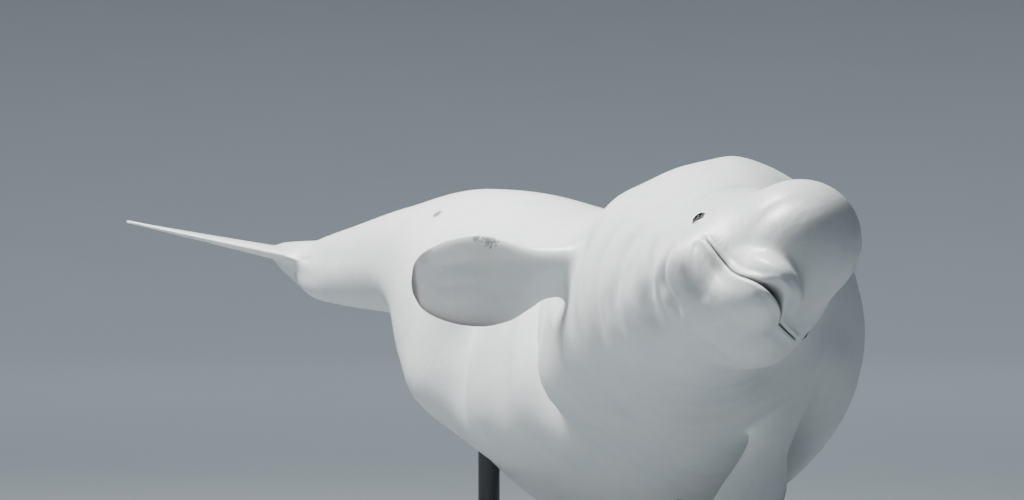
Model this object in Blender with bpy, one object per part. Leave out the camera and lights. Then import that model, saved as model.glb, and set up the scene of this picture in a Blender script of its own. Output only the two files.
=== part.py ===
"""Adult beluga whale, life size, turning as it swims, held on a plain display stand.

Metres, +Z up. The whale is laid out straight first: x forward with the beak tip at 0, y to
its left and z up. The spine is then bent, and the whale is set above the stand. The origin is
at the middle of the underside of the stand's base, and the head points along +X.
"""

import math

import bmesh
import bpy
import numpy as np

# Fit between nodes that meet
GAP = 0.0003

# Trunk: (distance behind the beak tip, back, belly, half width), heights from the spine
TRUNK = (
    (0.30, 0.190, 0.180, 0.165),
    (0.42, 0.218, 0.235, 0.203),
    (0.56, 0.252, 0.285, 0.240),
    (0.75, 0.304, 0.350, 0.300),
    (1.00, 0.337, 0.412, 0.373),
    (1.30, 0.358, 0.450, 0.426),
    (1.65, 0.402, 0.465, 0.438),
    (2.00, 0.402, 0.452, 0.426),
    (2.35, 0.368, 0.412, 0.368),
    (2.70, 0.304, 0.310, 0.280),
    (3.00, 0.196, 0.170, 0.195),
    (3.30, 0.128, 0.150, 0.120),
    (3.55, 0.096, 0.118, 0.072),
    (3.75, 0.056, 0.060, 0.040),
    (3.90, 0.012, 0.012, 0.010),
)
TAIL_END = TRUNK[-1][0]
SECTION_POWER = 2.15
NAPE_STATION = 0.45
NAPE_LENGTH = 0.30

# Flattened shoulders above the flippers, on both sides
HOLLOW = 0.024
HOLLOW_FROM, HOLLOW_TO = 0.45, 1.45
HOLLOW_ANGLE = math.radians(58)
HOLLOW_SPREAD = math.radians(23)

# Head forms: middle (station, side, height) and radii (long, wide, high)
MELON = ((0.184, -0.008, 0.0725), (0.170, 0.145, 0.1545))
CRANIUM = ((0.340, 0.0, -0.005), (0.235, 0.188, 0.208))
UPPER_BEAK = ((0.150, 0.0, -0.066), (0.158, 0.088, 0.052))
LOWER_BEAK = ((0.185, 0.0, -0.126), (0.168, 0.084, 0.056))
CHEEK = ((0.330, 0.088, -0.085), (0.150, 0.100, 0.100))
FORM_BLEND = 0.035

# Low ridge along the back
RIDGE = 0.018
RIDGE_FROM, RIDGE_TO = 1.80, 2.75
RIDGE_SPREAD = 0.07

# Two rolls of fat along the belly: (station, height), and where round the body they run
ROLLS = ((1.10, 0.0), (1.60, 0.015), (2.20, 0.034), (2.55, 0.044), (2.76, 0.028), (2.90, 0.0))
ROLL_ANGLE = math.radians(155)
ROLL_SPREAD = math.radians(20)

# Mouth, from beyond the beak's tip back to the corner: (station, upper lip's height, opening)
MOUTH = (
    (-0.08, -0.082, 0.030),
    (0.00, -0.091, 0.022),
    (0.04, -0.109, 0.006),
    (0.08, -0.1145, 0.0025),
    (0.12, -0.109, 0.0015),
    (0.16, -0.096, 0.001),
    (0.185, -0.085, 0.0006),
    (0.215, -0.072, GAP),
)
MOUTH_FRONT, MOUTH_CORNER = MOUTH[0][0], MOUTH[-1][0]
LIP = 0.005
LIP_WIDTH = 0.012
LIP_FROM, LIP_TO = 0.03, 0.27
HALF_BLOCK, BLOCK_DEPTH = 0.30, 0.45

# Axis that the skin is measured round: level with the mouth in the head, then down the spine
AXIS_STATION = 0.30
AXIS_HEIGHT = -0.075
AXIS_LENGTH = 0.40
LONGEST_RAY = 0.90

# Eyes and blowhole
EYE_STATION = 0.318
EYE_ANGLE = math.radians(72)
EYE_RADIUS = 0.020
EYE_SINK = 0.012
LID_RADIUS = 0.0195
LID_THICKNESS = 0.005
BLOWHOLE_STATION = 0.385
BLOWHOLE_RADIUS = 0.040
BLOWHOLE_SLIT = 0.007
BLOWHOLE_SIDE = 0.008
BLOWHOLE_TURN = 62
BLOWHOLE_DEPTH = 0.025

# Where the body is parted into its nodes
HEAD_CUT, NECK_CUT, CHEST_CUT, ABDOMEN_CUT, LOIN_CUT = 0.46, 0.72, 1.30, 2.05, 2.80
ROUND_TRUNK = 40
ROUND_TAIL = 28

# Bends of the spine, in degrees, each spread from its first station to its second
TURNS_LEFT = ((1.05, 0.35, 23.0), (1.10, 2.40, 56.5), (2.30, 3.50, -18.5))
TURNS_UP = ((0.90, 0.30, 24.0), (1.60, 0.55, -32.5), (1.30, 2.50, -10.5), (2.40, 3.50, 14.0))
TURNS_ROUND = ((1.05, 0.35, -2.5), (1.20, 3.50, 38.0))
SPINE_FROM, SPINE_TO = 0.25, 3.70
CHEST_STATION = 1.20
CHEST_HEADING, CHEST_PITCH, CHEST_ROLL = -24.0, 27.5, -40.0
CHEST_AT = (0.55, 0.10, 0.98)

# Flippers: root (station, side, height), sizes, sweep back, lift and twist in degrees, and the
# plan: (share of the length, share of the width ahead and behind, share of the thickness)
FLIPPER_ROOT = (0.93, 0.335, -0.20)
FLIPPER_LENGTH = 0.438
FLIPPER_WIDTH = 0.234
FLIPPER_THICKNESS = 0.075
FLIPPER_SET = {"left": (55.0, -66.0, -40.0), "right": (16.5, -39.0, 68.0)}
FLIPPER_CURL = 0.030
FLIPPER_SUNK = 0.10
FLIPPER_PLAN = (
    (-0.30, 0.26, 0.26, 1.15),
    (0.00, 0.27, 0.27, 1.00),
    (0.15, 0.29, 0.27, 0.85),
    (0.40, 0.43, 0.495, 0.58),
    (0.70, 0.50, 0.495, 0.38),
    (0.90, 0.39, 0.34, 0.22),
    (1.00, 0.05, 0.05, 0.08),
)

# Flukes
FLUKE_STATION = 3.60
FLUKE_SPAN = 1.11
FLUKE_CHORD = 0.37
FLUKE_SWEEP = 0.30
FLUKE_THICKNESS = 0.062
FLUKE_HEIGHT = 0.014
FLUKE_PITCH = 10.5
FLUKE_TIP_RISE = 0.004

# Display stand
BASE_LENGTH, BASE_WIDTH, BASE_HEIGHT = 2.30, 1.00, 0.040
BASE_CORNER = 0.12
BASE_BEVEL = 0.008
ROD_RADIUS = 0.032
FOOT_RADIUS, FOOT_HEIGHT, FOOT_BEVEL = 0.085, 0.014, 0.006
ROUND_ROD = 28
FRONT_ROD_AT = (0.45, 0.05)
REAR_ROD_AT = (-0.60, 0.05)
ROD_TOP = 1.10

# Colours
SKIN_COLOUR = (0.80, 0.83, 0.83)
EYE_COLOUR = (0.02, 0.018, 0.016)
STAND_COLOUR = (0.055, 0.058, 0.062)
SKIN_NODES = (
    "head",
    "lower_jaw",
    "neck",
    "chest",
    "abdomen",
    "loin",
    "tail_stock",
    "flipper_left",
    "flipper_right",
    "fluke_left",
    "fluke_right",
)


def clear_scene():
    for obj in list(bpy.data.objects):
        bpy.data.objects.remove(obj, do_unlink=True)


def ease(t):
    """Smooth step from 0 to 1."""
    t = np.clip(t, 0.0, 1.0)
    return t * t * (3.0 - 2.0 * t)


def through(rows, column, at):
    """Smooth curve through one column of sizes against the first column, with no overshoot."""
    stations, sizes = np.array(rows)[:, 0], np.array(rows)[:, column]
    step = np.diff(stations)
    slope = np.diff(sizes) / step
    turns = slope[1:] * slope[:-1] <= 0.0
    total = np.where(turns, 1.0, slope[1:] + slope[:-1])
    inner = np.where(turns, 0.0, 2.0 * slope[1:] * slope[:-1] / total)
    tangent = np.concatenate([slope[:1], inner, slope[-1:]])
    at = np.clip(at, stations[0], stations[-1])
    i = np.clip(np.searchsorted(stations, at) - 1, 0, len(step) - 1)
    t = (at - stations[i]) / step[i]
    rise = sizes[i + 1] - sizes[i]
    start, end = tangent[i] * step[i], tangent[i + 1] * step[i]
    square = (3 * rise - 2 * start - end) * t**2
    return sizes[i] + start * t + square + (start + end - 2 * rise) * t**3


def section(s):
    """Half width, half height and middle height of the trunk, which rounds off in the head."""
    back, belly, half = (through(TRUNK, column, s) for column in (1, 2, 3))
    front = np.clip((NAPE_STATION - s) / NAPE_LENGTH, 0.0, 1.0)
    close = np.maximum(np.sqrt(1.0 - front**2), 0.15)
    return half * close, (back + belly) / 2 * close, (back - belly) / 2


def trunk_field(x, y, z):
    """Negative inside the trunk: how far a point lies from its rounded section."""
    wide, high, middle = section(-x)
    power = SECTION_POWER
    ratio = (np.abs(y / wide) ** power + np.abs((z - middle) / high) ** power) ** (1 / power)
    off = (np.arctan2(np.abs(y), z) - HOLLOW_ANGLE) / HOLLOW_SPREAD
    hollow = HOLLOW * bump(-x, HOLLOW_FROM, HOLLOW_TO) * np.exp(-(off**4))
    round_field = (ratio - 1.0) * np.minimum(wide, high) + hollow
    return np.maximum(round_field, x + NAPE_STATION - NAPE_LENGTH)


def form_field(x, y, z, middle, radii):
    """Negative inside an egg-shaped form, and about the distance to it outside."""
    p = (x + middle[0], y - middle[1], z - middle[2])
    k0 = np.sqrt(sum((v / r) ** 2 for v, r in zip(p, radii)))
    k1 = np.sqrt(sum((v / r**2) ** 2 for v, r in zip(p, radii))) + 1e-9
    return k0 * (k0 - 1.0) / k1


def blend(a, b):
    """Union of two fields with a rounded valley between them."""
    h = np.clip(0.5 + 0.5 * (b - a) / FORM_BLEND, 0.0, 1.0)
    return b + (a - b) * h - FORM_BLEND * h * (1.0 - h)


def flesh(x, y, z):
    field = trunk_field(x, y, z)
    for middle, radii in (CRANIUM, MELON, UPPER_BEAK, LOWER_BEAK):
        field = blend(field, form_field(x, y, z, middle, radii))
    return blend(field, form_field(x, np.abs(y), z, *CHEEK))


def bump(value, start, end):
    """One smooth hump between start and end."""
    t = np.clip((value - start) / (end - start), 0.0, 1.0)
    return np.sin(np.pi * t) ** 2


def axis_height(s):
    """Height that the skin's rays leave from at station s."""
    return AXIS_HEIGHT * (1.0 - ease((s - AXIS_STATION) / AXIS_LENGTH))


def surface(s, fan, angle):
    """Points of the straight whale's skin. A ray leaves the axis at station s, leans forward by
    the angle fan, and points round the body by angle, from 0 at the back to pi at the belly."""
    s, fan, angle = np.broadcast_arrays(s, fan, angle)
    way = (np.sin(fan), np.cos(fan) * np.sin(angle), np.cos(fan) * np.cos(angle))
    start = (-s, np.zeros_like(s), axis_height(s))
    low, high = np.zeros_like(s), np.full_like(s, LONGEST_RAY)
    for _ in range(32):
        mid = (low + high) / 2
        inside = flesh(*(o + mid * w for o, w in zip(start, way))) < 0.0
        low, high = np.where(inside, mid, low), np.where(inside, high, mid)
    x, z = start[0] + low * way[0], start[2] + low * way[2]
    ridge = RIDGE * bump(s, RIDGE_FROM, RIDGE_TO) * np.exp(-((np.sin(angle / 2) / RIDGE_SPREAD) ** 2))
    off = (np.abs(np.arctan2(np.sin(angle), np.cos(angle))) - ROLL_ANGLE) / ROLL_SPREAD
    roll = through(ROLLS, 1, s) * np.exp(-(off**2))
    off = (z - through(MOUTH, 1, -x)) / LIP_WIDTH
    lips = LIP * np.exp(-(off**2)) * bump(-x, LIP_FROM, LIP_TO)
    length = low + ridge + roll + lips
    return np.stack([o + length * w for o, w in zip(start, way)], axis=-1)


def turned(s, turns):
    """Angle of the spine at station s, from its list of bends."""
    return sum(math.radians(amount) * ease((s - a) / (b - a)) for a, b, amount in turns)


def directions(heading, pitch, roll):
    """Forward, left and up directions, one row each, for the three angles in radians."""
    east, north = np.cos(heading), np.sin(heading)
    forward = np.stack([east * np.cos(pitch), north * np.cos(pitch), np.sin(pitch)], axis=-1)
    level = np.stack([-north, east, np.zeros_like(heading)], axis=-1)
    above = np.cross(forward, level)
    c, s = np.cos(roll)[..., None], np.sin(roll)[..., None]
    return forward, level * c + above * s, above * c - level * s


def spine():
    """Stations along the spine, its points, and its forward, left and up directions there."""
    s = np.linspace(SPINE_FROM, SPINE_TO, 346)
    bends = (turned(s, turns) for turns in (TURNS_LEFT, TURNS_UP, TURNS_ROUND))
    forward, left, up = directions(*bends)
    steps = (forward[1:] + forward[:-1]) / 2 * (s[1] - s[0])
    points = -np.concatenate([np.zeros((1, 3)), np.cumsum(steps, axis=0)])
    points -= np.stack([np.interp(CHEST_STATION, s, points[:, k]) for k in range(3)])
    chest = np.stack(directions(*np.radians([CHEST_HEADING, CHEST_PITCH, CHEST_ROLL])))
    return s, points @ chest + np.array(CHEST_AT), forward @ chest, left @ chest, up @ chest


SPINE = spine()


def posed(points, station=None):
    """Bends points of the straight whale along the spine. With a station given, all are carried
    by the spine's frame there, which keeps a flat cut flat."""
    points = np.asarray(points, dtype=float)
    s = -points[..., 0] if station is None else np.full(points.shape[:-1], station)
    held = np.clip(s, SPINE_FROM, SPINE_TO)
    middle, forward, left, up = (
        np.stack([np.interp(held, SPINE[0], line[:, k]) for k in range(3)], axis=-1)
        for line in SPINE[1:]
    )
    ahead = points[..., :1] + held[..., None]
    return middle + forward * ahead + left * points[..., 1:2] + up * points[..., 2:3]


def material(name, colour, roughness, metallic=0.0):
    made = bpy.data.materials.new(name)
    made.use_nodes = True
    shader = made.node_tree.nodes["Principled BSDF"]
    shader.inputs["Base Color"].default_value = (*colour, 1.0)
    shader.inputs["Roughness"].default_value = roughness
    shader.inputs["Metallic"].default_value = metallic
    return made


def add_mesh(name, points, faces, made_of):
    """A closed object from points and faces, with its faces turned outwards."""
    mesh = bpy.data.meshes.new(name)
    mesh.from_pydata([tuple(p) for p in points], [], faces)
    shell = bmesh.new()
    shell.from_mesh(mesh)
    bmesh.ops.triangulate(shell, faces=shell.faces, quad_method="FIXED")
    bmesh.ops.recalc_face_normals(shell, faces=shell.faces)
    if shell.calc_volume(signed=True) < 0.0:
        bmesh.ops.reverse_faces(shell, faces=shell.faces)
    shell.to_mesh(mesh)
    shell.free()
    obj = bpy.data.objects.new(name, mesh)
    bpy.context.scene.collection.objects.link(obj)
    if made_of is not None:
        mesh.materials.append(made_of)
    return obj


def loft(name, rings, made_of, start=None, end=None):
    """A closed skin over rings of points, each end on its given point or its ring's middle."""
    count, around = rings.shape[:2]
    start = rings[0].mean(axis=0) if start is None else start
    end = rings[-1].mean(axis=0) if end is None else end
    points = np.concatenate([rings.reshape(-1, 3), [start, end]])
    first, last = count * around, count * around + 1
    faces = []
    for j in range(around):
        k = (j + 1) % around
        faces.append((first, k, j))
        faces.append((last, (count - 1) * around + j, (count - 1) * around + k))
        for i in range(count - 1):
            near, far = i * around, (i + 1) * around
            faces.append((near + j, near + k, far + k, far + j))
    return add_mesh(name, points, faces, made_of)


def keep_largest(obj):
    """Drops every closed surface of the object but the one that holds the most."""
    shell = bmesh.new()
    shell.from_mesh(obj.data)
    shell.verts.ensure_lookup_table()
    unseen = set(shell.verts)
    islands = []
    while unseen:
        island = set()
        reached = [unseen.pop()]
        while reached:
            vert = reached.pop()
            island.add(vert)
            found = {edge.other_vert(vert) for edge in vert.link_edges} & unseen
            unseen -= found
            reached.extend(found)
        islands.append(island)

    def held(island):
        faces = {face for vert in island for face in vert.link_faces}
        return sum(face.calc_area() for face in faces)

    islands.sort(key=held)
    loose = [vert for island in islands[:-1] for vert in island]
    if loose:
        bmesh.ops.delete(shell, geom=loose, context="VERTS")
    shell.to_mesh(obj.data)
    shell.free()


def combine(target, tool, operation):
    """Joins, cuts or crosses the target with the tool, and applies the result."""
    modifier = target.modifiers.new(operation.title(), "BOOLEAN")
    modifier.operation = operation
    modifier.solver = "EXACT"
    modifier.object = tool
    graph = bpy.context.evaluated_depsgraph_get()
    result = bpy.data.meshes.new_from_object(target.evaluated_get(graph))
    target.modifiers.clear()
    target.data = result
    keep_largest(target)
    bpy.data.objects.remove(tool, do_unlink=True)


def grown(obj):
    """A copy of the object, larger by the gap on every side, that cuts its neighbours clear."""
    copy = bpy.data.objects.new(obj.name + "_clearance", obj.data.copy())
    bpy.context.scene.collection.objects.link(copy)
    normals = [vert.normal.copy() for vert in copy.data.vertices]
    for vert, normal in zip(copy.data.vertices, normals):
        vert.co += normal * GAP
    return copy


def cut_clear(target, neighbours):
    for neighbour in neighbours:
        combine(target, grown(neighbour), "DIFFERENCE")


def smooth(obj, sharp=45):
    obj.data.shade_smooth()
    obj.data.set_sharp_from_angle(angle=math.radians(sharp))


def trunk_node(name, start, end, rings, made_of):
    """A length of the trunk between two flat cuts, half the gap inside each."""
    stations = np.linspace(start, end, rings)
    angles = np.linspace(0.0, 2 * np.pi, ROUND_TRUNK, endpoint=False)
    points = posed(surface(stations[:, None], 0.0, angles[None, :]))
    for row, station, way in ((0, start, -1), (-1, end, 1)):
        flat = surface(np.full(ROUND_TRUNK, station), 0.0, angles)
        flat[:, 0] += way * GAP / 2
        points[row] = posed(flat, station)
    return loft(name, points, made_of)


def head_angles():
    """Lines round the head, closest beside the line of the mouth."""
    above = np.arange(0, 70, 10)
    beside = np.arange(70, 118, 6)
    below = np.arange(124, 180, 14)
    half = np.radians(np.concatenate([above, beside, below]))
    return np.concatenate([half, [np.pi], 2 * np.pi - half[:0:-1]])


def head_node(made_of):
    """The head, from the tip of the beak back to the neck, with its jaws still joined."""
    angles = head_angles()
    fans = np.radians(np.concatenate([[86, 82, 78], np.arange(73, 5, -5.5)]))
    front = posed(surface(AXIS_STATION, fans[:, None], angles[None, :]))
    stations = np.linspace(AXIS_STATION, HEAD_CUT, 8)
    behind = posed(surface(stations[:, None], 0.0, angles[None, :]))
    flat = surface(np.full(len(angles), HEAD_CUT), 0.0, angles)
    flat[:, 0] += GAP / 2
    behind[-1] = posed(flat, HEAD_CUT)
    tip = posed(surface(AXIS_STATION, np.pi / 2, 0.0))
    return loft("head", np.concatenate([front, behind]), made_of, start=tip)


def jaw_block(name, opening, corner):
    """A block below the upper lip's edge, or below the opening too, back to the mouth's corner."""
    stations = np.linspace(MOUTH_FRONT, corner, 18)
    edge = through(MOUTH, 1, stations) - opening * through(MOUTH, 2, stations)
    wide, deep = HALF_BLOCK, np.full_like(edge, -BLOCK_DEPTH)
    sides = ((-wide, edge), (wide, edge), (wide, deep), (-wide, deep))
    rings = [np.stack([-stations, np.full_like(edge, y), z], axis=-1) for y, z in sides]
    return loft(name, posed(np.stack(rings, axis=1), SPINE_FROM), None)


def eye_frame(side):
    """Middle of the eye's opening and the three directions there: outwards, forward and upwards."""
    step = 0.01
    angle = side * EYE_ANGLE
    here = surface(EYE_STATION, 0.0, angle)
    along = surface(EYE_STATION - step, 0.0, angle) - surface(EYE_STATION + step, 0.0, angle)
    across = surface(EYE_STATION, 0.0, angle * 0.96) - surface(EYE_STATION, 0.0, angle * 1.04)
    along /= np.linalg.norm(along)
    out = np.cross(across, along) * side
    out /= np.linalg.norm(out)
    return here, out, along, np.cross(along, out) * side


def ball(name, middle, radius, made_of, rings=10, around=16):
    tilt = np.linspace(0.0, np.pi, rings + 1)[1:-1, None]
    turn = np.linspace(0.0, 2 * np.pi, around, endpoint=False)[None, :]
    parts = (np.cos(tilt), np.sin(tilt) * np.cos(turn), np.sin(tilt) * np.sin(turn))
    shape = np.stack(np.broadcast_arrays(*parts), axis=-1)
    end = np.array([radius, 0.0, 0.0])
    return loft(name, posed(middle + radius * shape), made_of, posed(middle + end), posed(middle - end))


def ring(name, middle, out, along, above, radius, thickness, around=20, sides=6):
    """A rounded ring that lies on the skin round an eye: the two lids."""
    turn = np.linspace(0.0, 2 * np.pi, around, endpoint=False)
    across = np.linspace(0.0, 2 * np.pi, sides, endpoint=False)
    long, high = 1.18 * radius, 0.92 * radius
    points = []
    for t in turn:
        away = along * np.cos(t) * long + above * np.sin(t) * high
        way = away / np.linalg.norm(away)
        points += [middle + away + thickness * (way * np.cos(a) + out * np.sin(a)) for a in across]
    faces = []
    for i in range(around):
        for j in range(sides):
            k, m = (i + 1) % around, (j + 1) % sides
            faces.append((i * sides + j, i * sides + m, k * sides + m, k * sides + j))
    return add_mesh(name, posed(np.array(points)), faces, None)


def blowhole_cutter():
    """A curved slot across the top of the head, hollow side forward."""
    rings = []
    for turn in np.radians(np.linspace(-BLOWHOLE_TURN, BLOWHOLE_TURN, 9)):
        away = np.array([-np.cos(turn), np.sin(turn), 0.0])
        arc = BLOWHOLE_RADIUS * (away + np.array([1.0, 0.0, 0.0]))
        middle = np.array([-BLOWHOLE_STATION, BLOWHOLE_SIDE, 0.0]) + arc
        top = surface(-middle[0], 0.0, 0.0)[2]
        half = BLOWHOLE_SLIT / 2 * np.cos(turn * 0.8)
        low, high = top - BLOWHOLE_DEPTH, top + BLOWHOLE_DEPTH
        corners = ((-half, low), (half, low), (half, high), (-half, high))
        rings.append([middle + away * wide + np.array([0.0, 0.0, z]) for wide, z in corners])
    return loft("blowhole_cutter", posed(np.array(rings), SPINE_FROM), None)


def flipper_directions(hand, side):
    """Directions along a flipper's span, towards its leading edge, and out of its upper face."""
    sweep, lift, twist = np.radians(FLIPPER_SET[hand])
    out = np.cos(sweep) * np.cos(lift)
    span = np.array([-np.sin(sweep) * np.cos(lift), side * out, np.sin(lift)])
    lead = np.array([1.0, 0.0, 0.0]) - span * span[0]
    lead /= np.linalg.norm(lead)
    upper = np.cross(lead, span) * side
    turn = np.array([[np.cos(twist), np.sin(twist)], [-np.sin(twist), np.cos(twist)]])
    return span, *(turn @ np.stack([lead, upper]))


def flipper(hand, side, made_of):
    """A broad paddle: root sunk in the chest, widest past the middle, tip curled up a little."""
    span, lead, upper = flipper_directions(hand, side)
    sunk = FLIPPER_SUNK / FLIPPER_LENGTH
    t = np.array([-sunk, 0.0, 0.10, 0.22, 0.36, 0.50, 0.64, 0.77, 0.88, 0.95, 0.985])
    ahead, behind = (FLIPPER_WIDTH * through(FLIPPER_PLAN, column, t) for column in (1, 2))
    thick = FLIPPER_THICKNESS / 2 * through(FLIPPER_PLAN, 3, t)
    curl = FLIPPER_CURL * ease((t - 0.45) / 0.6)
    root = np.array([-FLIPPER_ROOT[0], side * FLIPPER_ROOT[1], FLIPPER_ROOT[2]])
    v = np.linspace(0.0, 2 * np.pi, 18, endpoint=False)
    chord = ((ahead - behind) / 2)[:, None] + ((ahead + behind) / 2)[:, None] * np.cos(v)
    rise = thick[:, None] * np.sin(v) * (0.75 + 0.25 * np.cos(v)) + curl[:, None]
    along = (t * FLIPPER_LENGTH)[:, None, None] * span
    rings = root + along + chord[..., None] * lead + rise[..., None] * upper
    tip = root + span * FLIPPER_LENGTH + upper * FLIPPER_CURL
    return loft("flipper_" + hand, posed(rings), made_of, end=posed(tip))


def raised(points):
    """Sets points of the flukes on the tail, pitched about their root."""
    pitch = math.radians(FLUKE_PITCH)
    x, y, z = points[..., 0], points[..., 1], points[..., 2]
    back = -FLUKE_STATION + x * np.cos(pitch) + z * np.sin(pitch)
    return np.stack([back, y, FLUKE_HEIGHT + z * np.cos(pitch) - x * np.sin(pitch)], axis=-1)


def fluke(hand, side, made_of):
    """One lobe of the tail's flukes, from the middle out, its trailing edge raised by the pitch."""
    t = np.array([0.0, 0.06, 0.14, 0.24, 0.35, 0.47, 0.60, 0.72, 0.83, 0.92, 0.97])
    half = FLUKE_SPAN / 2
    front = -FLUKE_SWEEP * t**1.3
    rear = -FLUKE_CHORD * (0.93 + 0.14 * np.sin(np.pi * t**0.8)) - 0.02 * t
    middle, chord = (front + rear) / 2, (front - rear) / 2 * np.sqrt(1.0 - t**7)
    thick = FLUKE_THICKNESS / 2 * (0.16 + 0.84 * (1 - t) ** 1.2)
    v = np.linspace(0.0, 2 * np.pi, 20, endpoint=False)
    x = middle[:, None] + chord[:, None] * np.cos(v)
    y = side * np.broadcast_to((GAP / 2 + t * half)[:, None], x.shape)
    z = thick[:, None] * np.sin(v) * (0.80 + 0.35 * np.cos(v)) + (FLUKE_TIP_RISE * t**2)[:, None]
    tip = np.array([middle[-1] - 0.012, side * half, FLUKE_TIP_RISE])
    rings = np.stack([x, y, z], axis=-1)
    return loft("fluke_" + hand, posed(raised(rings)), made_of, end=posed(raised(tip)))


def tail_node(made_of):
    """The tail stock, which narrows to a wedge between the flukes."""
    ahead, between = np.linspace(LOIN_CUT, FLUKE_STATION, 8), np.linspace(FLUKE_STATION, TAIL_END, 6)
    stations = np.concatenate([ahead, between[1:-1]])
    angles = np.linspace(0.0, 2 * np.pi, ROUND_TAIL, endpoint=False)
    straight = surface(stations[:, None], 0.0, angles[None, :])
    slope = math.tan(math.radians(FLUKE_PITCH))
    straight[..., 2] += np.maximum(-straight[..., 0] - FLUKE_STATION, 0.0) * slope
    points = posed(straight)
    flat = surface(np.full(ROUND_TAIL, LOIN_CUT), 0.0, angles)
    flat[:, 0] -= GAP / 2
    points[0] = posed(flat, LOIN_CUT)
    end = np.array([-TAIL_END, 0.0, (TAIL_END - FLUKE_STATION) * slope])
    return loft("tail_stock", points, made_of, end=posed(end))


def base_node(made_of):
    """Flat plate with round corners and a small bevel round its top."""
    corners = []
    for x, y, start in ((1, 1, 0), (-1, 1, 90), (-1, -1, 180), (1, -1, 270)):
        middle = np.array([x * (BASE_LENGTH / 2 - BASE_CORNER), y * (BASE_WIDTH / 2 - BASE_CORNER)])
        turn = np.radians(start + np.linspace(0, 90, 7))
        corners.append(middle + BASE_CORNER * np.column_stack([np.cos(turn), np.sin(turn)]))
    outline = np.concatenate(corners)
    inner = outline * (1 - BASE_BEVEL / np.abs(outline).max(axis=0))
    steps = ((outline, 0.0), (outline, BASE_HEIGHT - BASE_BEVEL), (inner, BASE_HEIGHT))
    rings = [np.column_stack([edge, np.full(len(edge), height)]) for edge, height in steps]
    return loft("stand_base", np.array(rings), made_of)


def rod_node(name, at, made_of, neighbours):
    """Upright rod on a round foot, its top cut to the skin above it."""
    turn = np.linspace(0.0, 2 * np.pi, ROUND_ROD, endpoint=False)
    circle = np.column_stack([np.cos(turn), np.sin(turn)])
    bottom = BASE_HEIGHT + GAP
    steps = (
        (FOOT_RADIUS, bottom),
        (FOOT_RADIUS, bottom + FOOT_HEIGHT - FOOT_BEVEL),
        (FOOT_RADIUS - FOOT_BEVEL, bottom + FOOT_HEIGHT),
        (ROD_RADIUS, bottom + FOOT_HEIGHT),
        (ROD_RADIUS, ROD_TOP),
    )
    rings = [np.column_stack([circle * r + at, np.full(ROUND_ROD, z)]) for r, z in steps]
    rod = loft(name, np.array(rings), made_of)
    cut_clear(rod, neighbours)
    return rod


def jaws(head, made_of):
    """Parts the head along the line of the mouth, and returns the lower jaw."""
    jaw = bpy.data.objects.new("lower_jaw", head.data.copy())
    bpy.context.scene.collection.objects.link(jaw)
    jaw.data.materials.clear()
    jaw.data.materials.append(made_of)
    combine(jaw, jaw_block("jaw_keep", 1.0, MOUTH_CORNER), "INTERSECT")
    combine(head, jaw_block("jaw_cut", 0.0, MOUTH_CORNER + GAP), "DIFFERENCE")
    return jaw


def add_eye(head, name, side):
    """Lids fused to the head, a socket cut into it, and the eyeball in the socket."""
    here, out, along, above = eye_frame(side)
    lids = ring(name + "_lids", here, out, along, above, LID_RADIUS, LID_THICKNESS)
    combine(head, lids, "UNION")
    middle = here - out * EYE_SINK
    combine(head, ball(name + "_socket", middle, EYE_RADIUS + GAP, None), "DIFFERENCE")
    smooth(ball(name, middle, EYE_RADIUS, material(name + "_surface", EYE_COLOUR, 0.08)))


def build():
    clear_scene()
    skins = {name: material(name + "_skin", SKIN_COLOUR, 0.42) for name in SKIN_NODES}
    head = head_node(skins["head"])
    jaw = jaws(head, skins["lower_jaw"])
    add_eye(head, "eye_left", 1)
    add_eye(head, "eye_right", -1)
    combine(head, blowhole_cutter(), "DIFFERENCE")

    neck = trunk_node("neck", HEAD_CUT, NECK_CUT, 6, skins["neck"])
    chest = trunk_node("chest", NECK_CUT, CHEST_CUT, 10, skins["chest"])
    abdomen = trunk_node("abdomen", CHEST_CUT, ABDOMEN_CUT, 12, skins["abdomen"])
    loin = trunk_node("loin", ABDOMEN_CUT, LOIN_CUT, 12, skins["loin"])
    tail = tail_node(skins["tail_stock"])
    for hand, side in (("left", 1), ("right", -1)):
        paddle = flipper(hand, side, skins["flipper_" + hand])
        cut_clear(paddle, (chest, neck))
        smooth(paddle)
        lobe = fluke(hand, side, skins["fluke_" + hand])
        cut_clear(lobe, (tail,))
        smooth(lobe)
    for node in (head, jaw, neck, chest, abdomen, loin, tail):
        smooth(node)

    metals = [material("stand_" + name, STAND_COLOUR, 0.35, 0.6) for name in ("plate", "front", "rear")]
    smooth(base_node(metals[0]), 30)
    front = rod_node("stand_rod_front", FRONT_ROD_AT, metals[1], (neck, chest, abdomen))
    rear = rod_node("stand_rod_rear", REAR_ROD_AT, metals[2], (abdomen, loin))
    smooth(front, 30)
    smooth(rear, 30)


build()
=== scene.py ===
"""Looks of the life-size beluga whale on its display stand.

One smooth skin covers the whole animal, with its folds, mouth, lids and blowhole, and the eyes,
the stand's finish, a pale studio and the camera follow. Metres, +Z up, in the frame of the solids.
The whale is worked out straight first, x forward with the beak's tip at 0, y to its left and z up,
and its points are then bent along the spine.
"""

import math

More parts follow.
